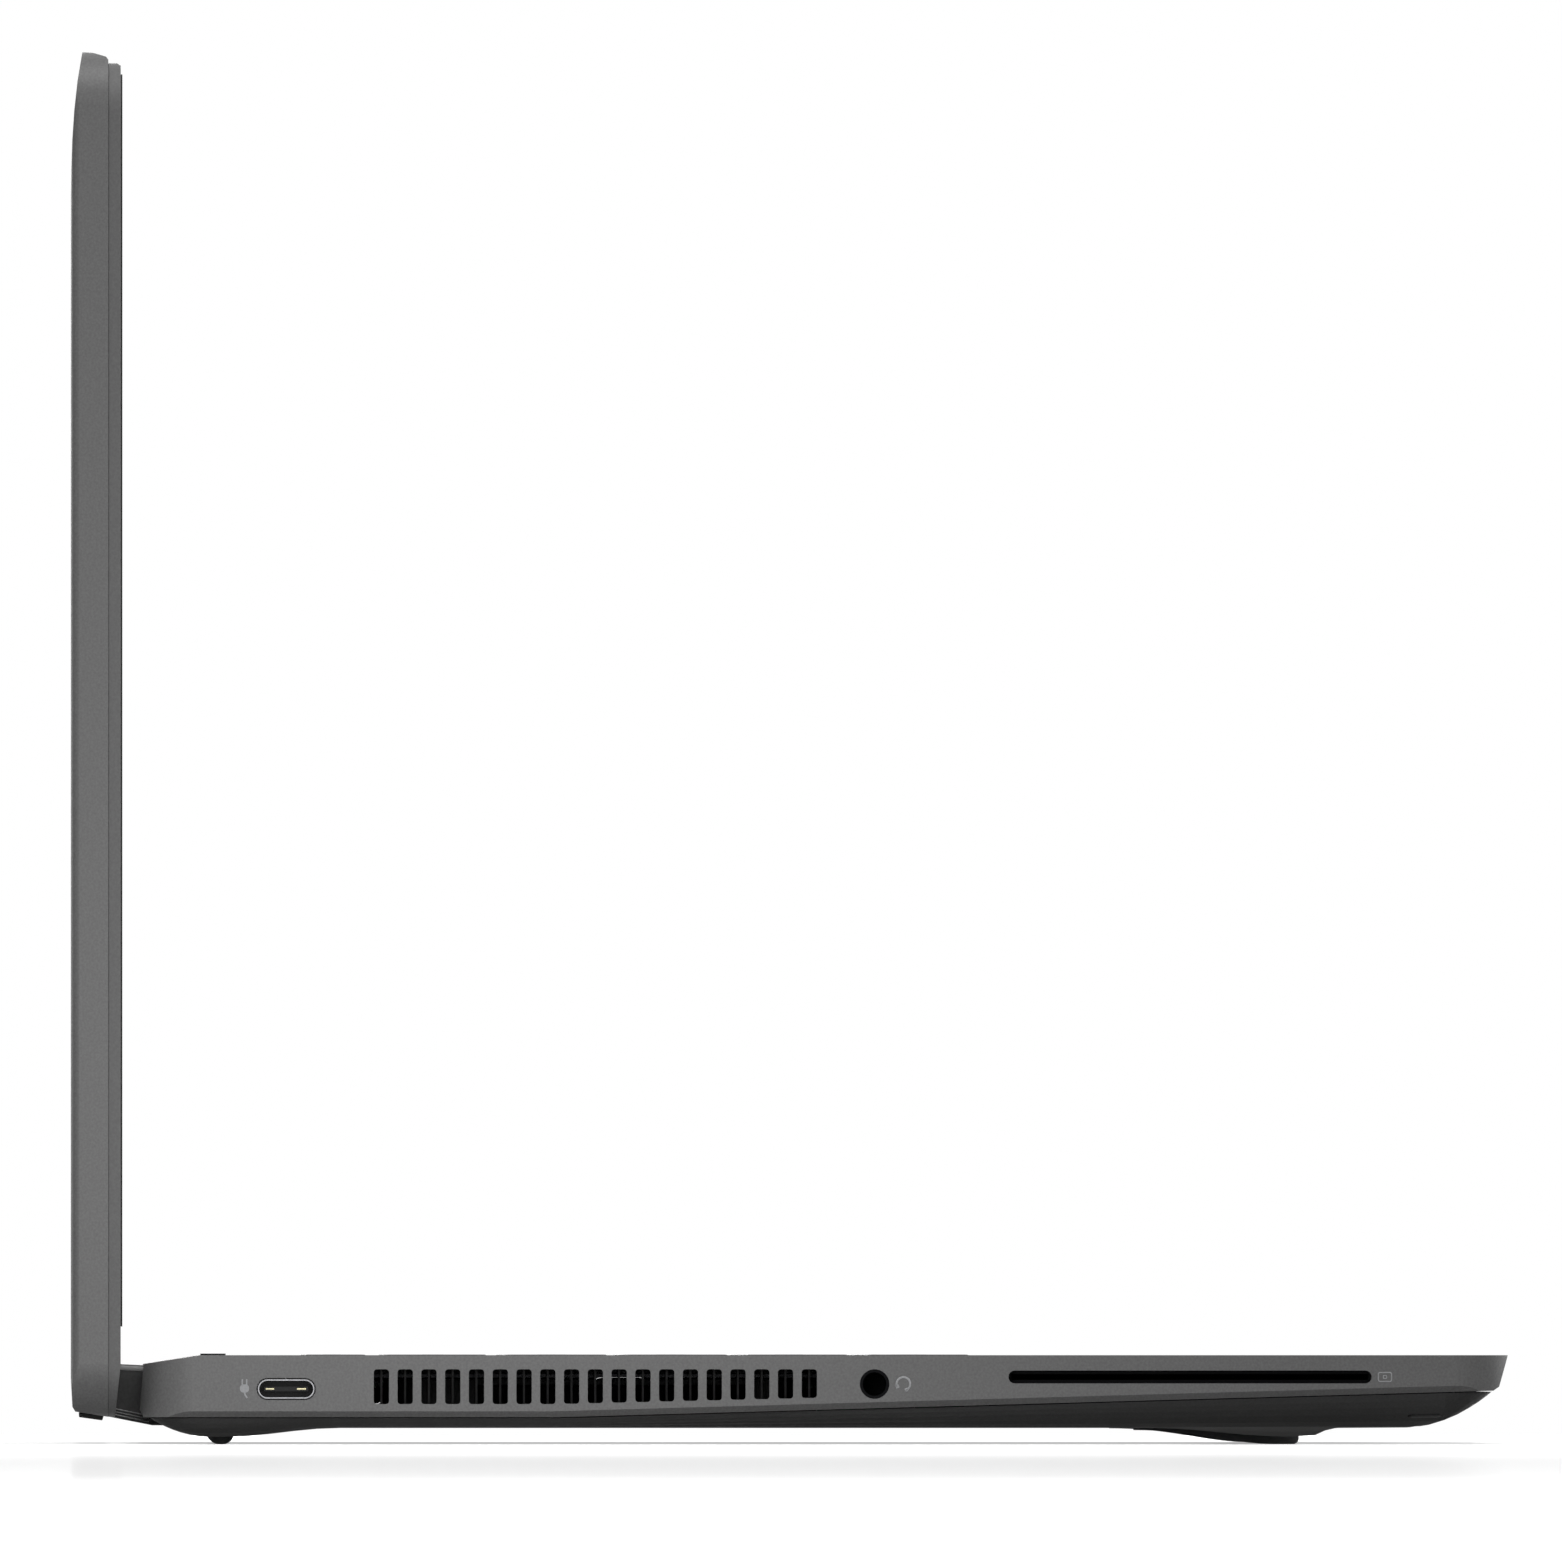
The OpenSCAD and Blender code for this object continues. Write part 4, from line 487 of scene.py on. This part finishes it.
def caps_of(name):
    """The middle and the top of each cap of a key node, from left to right."""
    body = bmesh.new()
    body.from_mesh(nodes[name].data)
    bmesh.ops.remove_doubles(body, verts=body.verts, dist=0.002 * mm)
    waiting = set(body.verts)
    caps = []
    while waiting:
        reached, edge_of_search = set(), [waiting.pop()]
        while edge_of_search:
            corner = edge_of_search.pop()
            reached.add(corner)
            for edge in corner.link_edges:
                other = edge.other_vert(corner)
                if other in waiting:
                    waiting.discard(other)
                    edge_of_search.append(other)
        xs, ys, zs = zip(*[corner.co for corner in reached])
        caps.append(Vector(((min(xs) + max(xs)) / 2, (min(ys) + max(ys)) / 2, max(zs))))
    body.free()
    return sorted(caps, key=lambda cap: cap.x)


def word(text, height_mm):
    """A word as flat ink round its own middle, with capitals of about that height."""
    letters = bpy.data.curves.new("word", "FONT")
    letters.body = text
    # a capital of the built-in font stands 0.72 of its size
    letters.size = height_mm / 0.72 * mm
    letters.extrude = ink_mm / 2 * mm
    letters.resolution_u = 3
    mesh = bpy.data.meshes.new_from_object(bpy.data.objects.new("word", letters))
    xs = [corner.co.x for corner in mesh.vertices]
    middle_x = (min(xs) + max(xs)) / 2
    mesh.transform(Matrix.Translation((-middle_x, -height_mm / 2 * mm, 0)))
    return mesh


# an arrow points up, and is turned by the angle that its key gives
arrow = [(-0.9, -0.5), (0, 0.6), (0.9, -0.5)]
legends = {
    "function_keys": ["esc"] + [f"F{n}" for n in range(1, 13)] + ["home", "end", "del"],
    "number_keys": list("`1234567890-="),
    "backspace_key": ["back"],
    "tab_key": ["tab"],
    "upper_letter_keys": list("QWERTYUIOP[]"),
    "backslash_key": ["\\"],
    "caps_lock_key": ["caps"],
    "home_letter_keys": list("ASDFGHJKL;'"),
    "enter_key": ["enter"],
    "left_shift_key": ["shift"],
    "lower_letter_keys": list("ZXCVBNM,./"),
    "right_shift_key": ["shift"],
    "modifier_keys": ["ctrl", "fn", "menu", "alt", "alt", "ctrl"],
    "left_arrow_key": [90],
    "up_arrow_key": [0],
    "down_arrow_key": [180],
    "right_arrow_key": [270],
}
key_ink = printing_ink("key_ink", "#a9aaac", "#b6b7b9")
letter_mm, name_mm = 2.6, 1.7
for name, texts in legends.items():
    drawings = []
    for cap, text in zip(caps_of(name), texts):
        if isinstance(text, int):
            drawing = stroke([arrow], 0.3)
            drawing.transform(Matrix.Rotation(math.radians(text), 4, "Z"))
        else:
            drawing = word(text, letter_mm if len(text) == 1 else name_mm)
        drawing.transform(Matrix.Translation(cap))
        drawings.append(drawing)
    made_piece(f"{name}_legends", drawings, key_ink, name)
made_piece("power_sign", [stroke([arc(1.3, 125, 415), [(0, 0.4), (0, 1.6)]], 0.28)], key_ink,
           "power_button", caps_of("power_button")[0])


# ---- Touchpad ----
# The plate is etched glass, silk smooth, and a shade darker than the deck around it. The board
# glued under it carries the sensor.
def etched_glass():
    finish, tree, shader, place = new_finish("etched_glass")
    grain = speckle(tree, place, 0.5)
    tint = two_tones(tree, grain.outputs["Fac"], "#5d5d5d", "#616161")
    tree.links.new(tint, shader.inputs["Base Color"])
    shader.inputs["Roughness"].default_value = 0.32
    shader.inputs["IOR"].default_value = 1.5
    relief(tree, shader, grain.outputs["Fac"], 0.003, 0.15)
    return finish


dress(etched_glass(), "touchpad_glass")
soften(0.15, "touchpad_glass")


# ---- Metal: hinge parts, screws, sheet, copper and fins ----
# Stamped, drawn or turned metal, plated or bare, with the fine drag lines of its making.
def worked_metal(name, dark, light, roughness, grain_mm=0.6):
    finish, tree, shader, place = new_finish(name)
    stretched = add(tree, "ShaderNodeMapping", Vector=place)
    stretched.inputs["Scale"].default_value = (0.1, 1, 1)
    lines = speckle(tree, stretched.outputs[0], grain_mm)
    tint = two_tones(tree, lines.outputs["Fac"], dark, light)
    tree.links.new(tint, shader.inputs["Base Color"])
    shader.inputs["Metallic"].default_value = 1
    shader.inputs["Roughness"].default_value = roughness
    relief(tree, shader, lines.outputs["Fac"], 0.004, 0.2)
    return finish


dress(worked_metal("zinc_plated_steel", "#8f9093", "#a3a4a6", 0.38),
      "hinge_brackets", "hinge_arms", "hinge_pins", "touchpad_bracket")
# near black on the keyboard plate, heat pipe and fins is painted shade for the side vents' depths
dress(worked_metal("dark_steel_and_vent_shade", "#2b2b2d", "#39393b", 0.42), "bottom_screws", "keyboard_plate")
dress(worked_metal("copper_painted_vent_shade", "#2a2320", "#352c28", 0.5), "heat_pipe")
dress(worked_metal("fins_painted_vent_shade", "#161616", "#1e1e1e", 0.6), "radiator_fins")
dress(worked_metal("antenna_copper_foil", "#a5824e", "#b8935c", 0.4), "antennas")


# ---- Sockets ----
# Each shell is deep drawn from nickel-plated steel, bright at its rim; deeper in, its colour turns
# near black, which is painted shade where no light reaches. The tongue is black nylon with gold-plated
# contacts. A thin black ring round each rim is painted shade too, for the dark gap round the shell.
# The headset jack and the card reader are black nylon all through, coloured darker than the other
# black plastics: partly painted shade for the depths of the jack and the card slot.
def drawn_shell():
    finish, tree, shader, place = new_finish("nickel_shell")
    lines = speckle(tree, place, 0.6)
    rim = two_tones(tree, lines.outputs["Fac"], "#5b5b5d", "#69696b")
    across = add(tree, "ShaderNodeSeparateXYZ", Vector=place)
    from_middle = add(tree, "ShaderNodeMath", {"operation": "ABSOLUTE"}, i0=across.outputs["X"])
    # 1 on the rim, 0 deeper than 0.3 mm
    depth = add(tree, "ShaderNodeMapRange", i0=from_middle.outputs[0],
                i1=rim_plane - 0.3 * mm, i2=rim_plane - 0.1 * mm)
    # painted shade: deeper than the rim the colour goes near black and stops being metal
    inside = add(tree, "ShaderNodeMix", {"data_type": "RGBA"}, i0=depth.outputs[0], i7=rim)
    inside.inputs[6].default_value = linear("#060607")
    tree.links.new(inside.outputs[2], shader.inputs["Base Color"])
    tree.links.new(depth.outputs[0], shader.inputs["Metallic"])
    shader.inputs["Roughness"].default_value = 0.3
    shader.inputs["Specular IOR Level"].default_value = 0.1
    relief(tree, shader, lines.outputs["Fac"], 0.004, 0.2)
    return finish


rim_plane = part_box("usb_c_right")[1].x
sockets = ["usb_c_left", "usb_c_right", "usb_a_port", "hdmi_port"]
dress(drawn_shell(), *sockets)
gold_plate = worked_metal("gold_plate", "#8d8870", "#a39d80", 0.35)
# the thin black rings are painted shade for the gap between each shell and the case
painted_gap_shade = moulded_plastic("painted_gap_shade", "#0d0d0e", "#131314")
tongue_back = 1.2 * mm
corner_mm = {"usb_c_left": 1.54, "usb_c_right": 1.54, "usb_a_port": 0.35, "hdmi_port": 0.8}
# each contact is a line along the tongue's front: where it starts and ends, and how high it sits
contacts = {
    "usb_c_left": [[(-3.1, 0), (-1.85, 0)], [(1.65, 0), (3.0, 0)]],
    "usb_c_right": [[(-3.1, 0), (-1.85, 0)], [(1.65, 0), (3.0, 0)]],
    "usb_a_port": [[(x - 0.45, 0.7), (x + 0.45, 0.7)] for x in (-3.5, -1, 1, 3.5)],
    "hdmi_port": [[(x - 0.1, 0.55), (x + 0.1, 0.55)] for x in range(-4, 5)],
}
for name in sockets:
    low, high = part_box(name)
    side = 1 if low.x > 0 else -1
    middle_y, middle_z = (low.y + high.y) / 2, (low.z + high.z) / 2
    forward = (0, side, 0)
    outline = rounded((high.y - low.y) / mm - 0.18, (high.z - low.z) / mm - 0.18, corner_mm[name])
    made_piece(f"{name}_shade_ring", [stroke([outline], 0.18, 0.1)], painted_gap_shade, "base",
               (side * rim_plane, middle_y, middle_z), forward, upward)
    made_piece(f"{name}_contacts", [stroke(contacts[name], 0.34, 0.1)], gold_plate, "base",
               (side * (rim_plane - tongue_back), middle_y, middle_z), forward, upward)

# near black nylon, partly painted shade for the depths of the jack and the card slot
dress(moulded_plastic("socket_nylon_and_shade", "#08080a", "#0c0c0e", sheen=0.04),
      "headset_jack", "smart_card_reader")


# ---- Rubber: feet, deck bumpers, bezel gasket and dome sheet ----
# Soft moulded silicone rubber, dull all over, with a dusty bloom.
def silicone_rubber(name, dark, light):
    finish, tree, shader, place = new_finish(name)
    bloom = speckle(tree, place, 2.5, detail=4)
    tint = two_tones(tree, bloom.outputs["Fac"], dark, light)
    tree.links.new(tint, shader.inputs["Base Color"])
    shader.inputs["Roughness"].default_value = 0.72
    shader.inputs["Specular IOR Level"].default_value = 0.25
    relief(tree, shader, speckle(tree, place, 0.4).outputs["Fac"], 0.01, 0.3)
    return finish


# the feet's mid grey is partly painted light, lifted above the rubber's own dark grey for the shade under
# the base
dress(silicone_rubber("foot_rubber", "#68696b", "#727375"), "front_foot", "rear_foot")
dress(silicone_rubber("seal_rubber", "#1b1b1c", "#212122"), "deck_bumpers", "bezel_gasket")
dress(silicone_rubber("dome_rubber", "#b4b6b8", "#c2c4c6"), "dome_sheet")


# ---- Boards, battery and cables ----
# Circuit boards wear green solder mask over copper tracks; the battery is wrapped in black film,
# and the cables in black tape.
def solder_mask():
    finish, tree, shader, place = new_finish("solder_mask")
    # the tracks are 0.15 mm wide and can't show, so bundles of them are drawn, 3.36 mm apart
    bundle = 3.36 * mm
    tracks = add(tree, "ShaderNodeTexWave", {"wave_type": "BANDS", "bands_direction": "DIAGONAL"},
                 Vector=place, Scale=math.pi / 5 / math.sqrt(2) / bundle, Distortion=6)
    tint = two_tones(tree, tracks.outputs["Fac"], "#12402a", "#1c5a3a", 0.45, 0.55)
    tree.links.new(tint, shader.inputs["Base Color"])
    shader.inputs["Roughness"].default_value = 0.3
    relief(tree, shader, tracks.outputs["Fac"], 0.03, 0.3)
    return finish


dress(solder_mask(), "motherboard", "touchpad_board", "solid_state_drive", "wireless_card")
dress(moulded_plastic("battery_film", "#141415", "#1c1c1e", grain_mm=3, roughness=0.35), "battery_pack")
dress(moulded_plastic("cable_tape", "#151516", "#1d1d1e", grain_mm=0.6),
      "display_cable", "display_cable_tail")


# ---- Picture panel and camera ----
# The panel is switched off: black glass behind a matt anti-glare film. The camera is a black
# module behind a small opening in the bezel, and its shutter is a red plastic slider.
def antiglare_film():
    finish, tree, shader, place = new_finish("antiglare_film")
    sparkle = speckle(tree, place, 0.25)
    tint = two_tones(tree, sparkle.outputs["Fac"], "#08090a", "#0b0c0e")
    tree.links.new(tint, shader.inputs["Base Color"])
    shader.inputs["Roughness"].default_value = 0.33
    relief(tree, shader, sparkle.outputs["Fac"], 0.003, 0.2)
    return finish


dress(antiglare_film(), "lcd_panel")
dress(moulded_plastic("camera_black", "#08080a", "#0d0d10", roughness=0.2), "camera_module")


def lens_glass():
    finish, tree, shader, place = new_finish("lens_glass")
    # the coating shifts from violet to green over the 2 mm of the lens
    coating = speckle(tree, place, 1.5)
    tint = two_tones(tree, coating.outputs["Fac"], "#120c22", "#0c1f1c")
    tree.links.new(tint, shader.inputs["Base Color"])
    shader.inputs["Roughness"].default_value = 0.06
    shader.inputs["Coat Weight"].default_value = 1
    relief(tree, shader, coating.outputs["Fac"], 0.001, 0.05)
    return finish


camera_low, camera_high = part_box("camera_module")
camera_middle = (0, camera_low.y, (camera_low.z + camera_high.z) / 2)
# thin enough for the shutter to pass over it
made_piece("camera_lens", [stroke([arc(1.0)], 0.3, 0.06), plate(arc(0.6), 0.04)],
           lens_glass(), "lid", camera_middle, (1, 0, 0), upward)
dress(moulded_plastic("shutter_red", "#8a3a2a", "#96402f", roughness=0.45), "camera_shutter")


# ---- Where each thing shows ----
# Where each thing of the image points shows in the photograph's frame.
def in_frame(place):
    """Where a place shows in the photograph's frame."""
    seen = camera.matrix_world.inverted() @ place
    scale = L * camera.data.lens / camera.data.sensor_width / -seen.z
    return (W / 2 - camera.data.shift_x * L + seen.x * scale,
            H / 2 + camera.data.shift_y * L - seen.y * scale)


def shown_places(*names):
    """The finished vertices of nodes or pieces, in the photograph's frame."""
    depsgraph = bpy.context.evaluated_depsgraph_get()
    places = []
    for name in names:
        piece = bpy.data.objects[name].evaluated_get(depsgraph)
        places += [in_frame(piece.matrix_world @ v.co) for v in piece.data.vertices]
    return places


def middle(places):
    """The middle of the box round some places."""
    xs, ys = zip(*places)
    return ((min(xs) + max(xs)) / 2, (min(ys) + max(ys)) / 2)


def near(point, across_mm, up_mm, name):
    """The middle of a node's near-side vertices that show within that reach of an image point."""
    reach_x, reach_y = [reach * mm * pixels_per_metre for reach in (across_mm, up_mm)]
    depsgraph = bpy.context.evaluated_depsgraph_get()
    finished = nodes[name].evaluated_get(depsgraph).data
    places = [in_frame(v.co) for v in finished.vertices if v.co.x < near_side + 0.3 * mm]
    wanted_x, wanted_y = image_points[point]
    return middle([(x, y) for x, y in places
                   if abs(x - wanted_x) < reach_x and abs(y - wanted_y) < reach_y])


everything = shown_places(*[piece.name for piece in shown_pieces()])
found = {
    "lid_back": (min(x for x, y in everything), None),
    "front_edge": (max(x for x, y in everything), None),
    "lid_top": (None, min(y for x, y in everything)),
    "foot_bottom": (None, max(y for x, y in everything)),
    "charging_port": middle(shown_places("usb_c_left_shade_ring")),
    "rear_vent": near("rear_vent", 1.45, 2.3, "top_case"),
    "front_vent": near("front_vent", 1.45, 2, "top_case"),
    "headset_port": near("headset_port", 2.45, 2.45, "headset_jack"),
    "card_slot": near("card_slot", 29, 1.37, "top_case"),
    "plug_sign": middle(shown_places("plug_sign")),
    "headset_sign": middle(shown_places("headset_sign")),
    "card_sign": middle(shown_places("card_sign")),
    "rear_foot": (middle(shown_places("rear_foot"))[0], None),
}
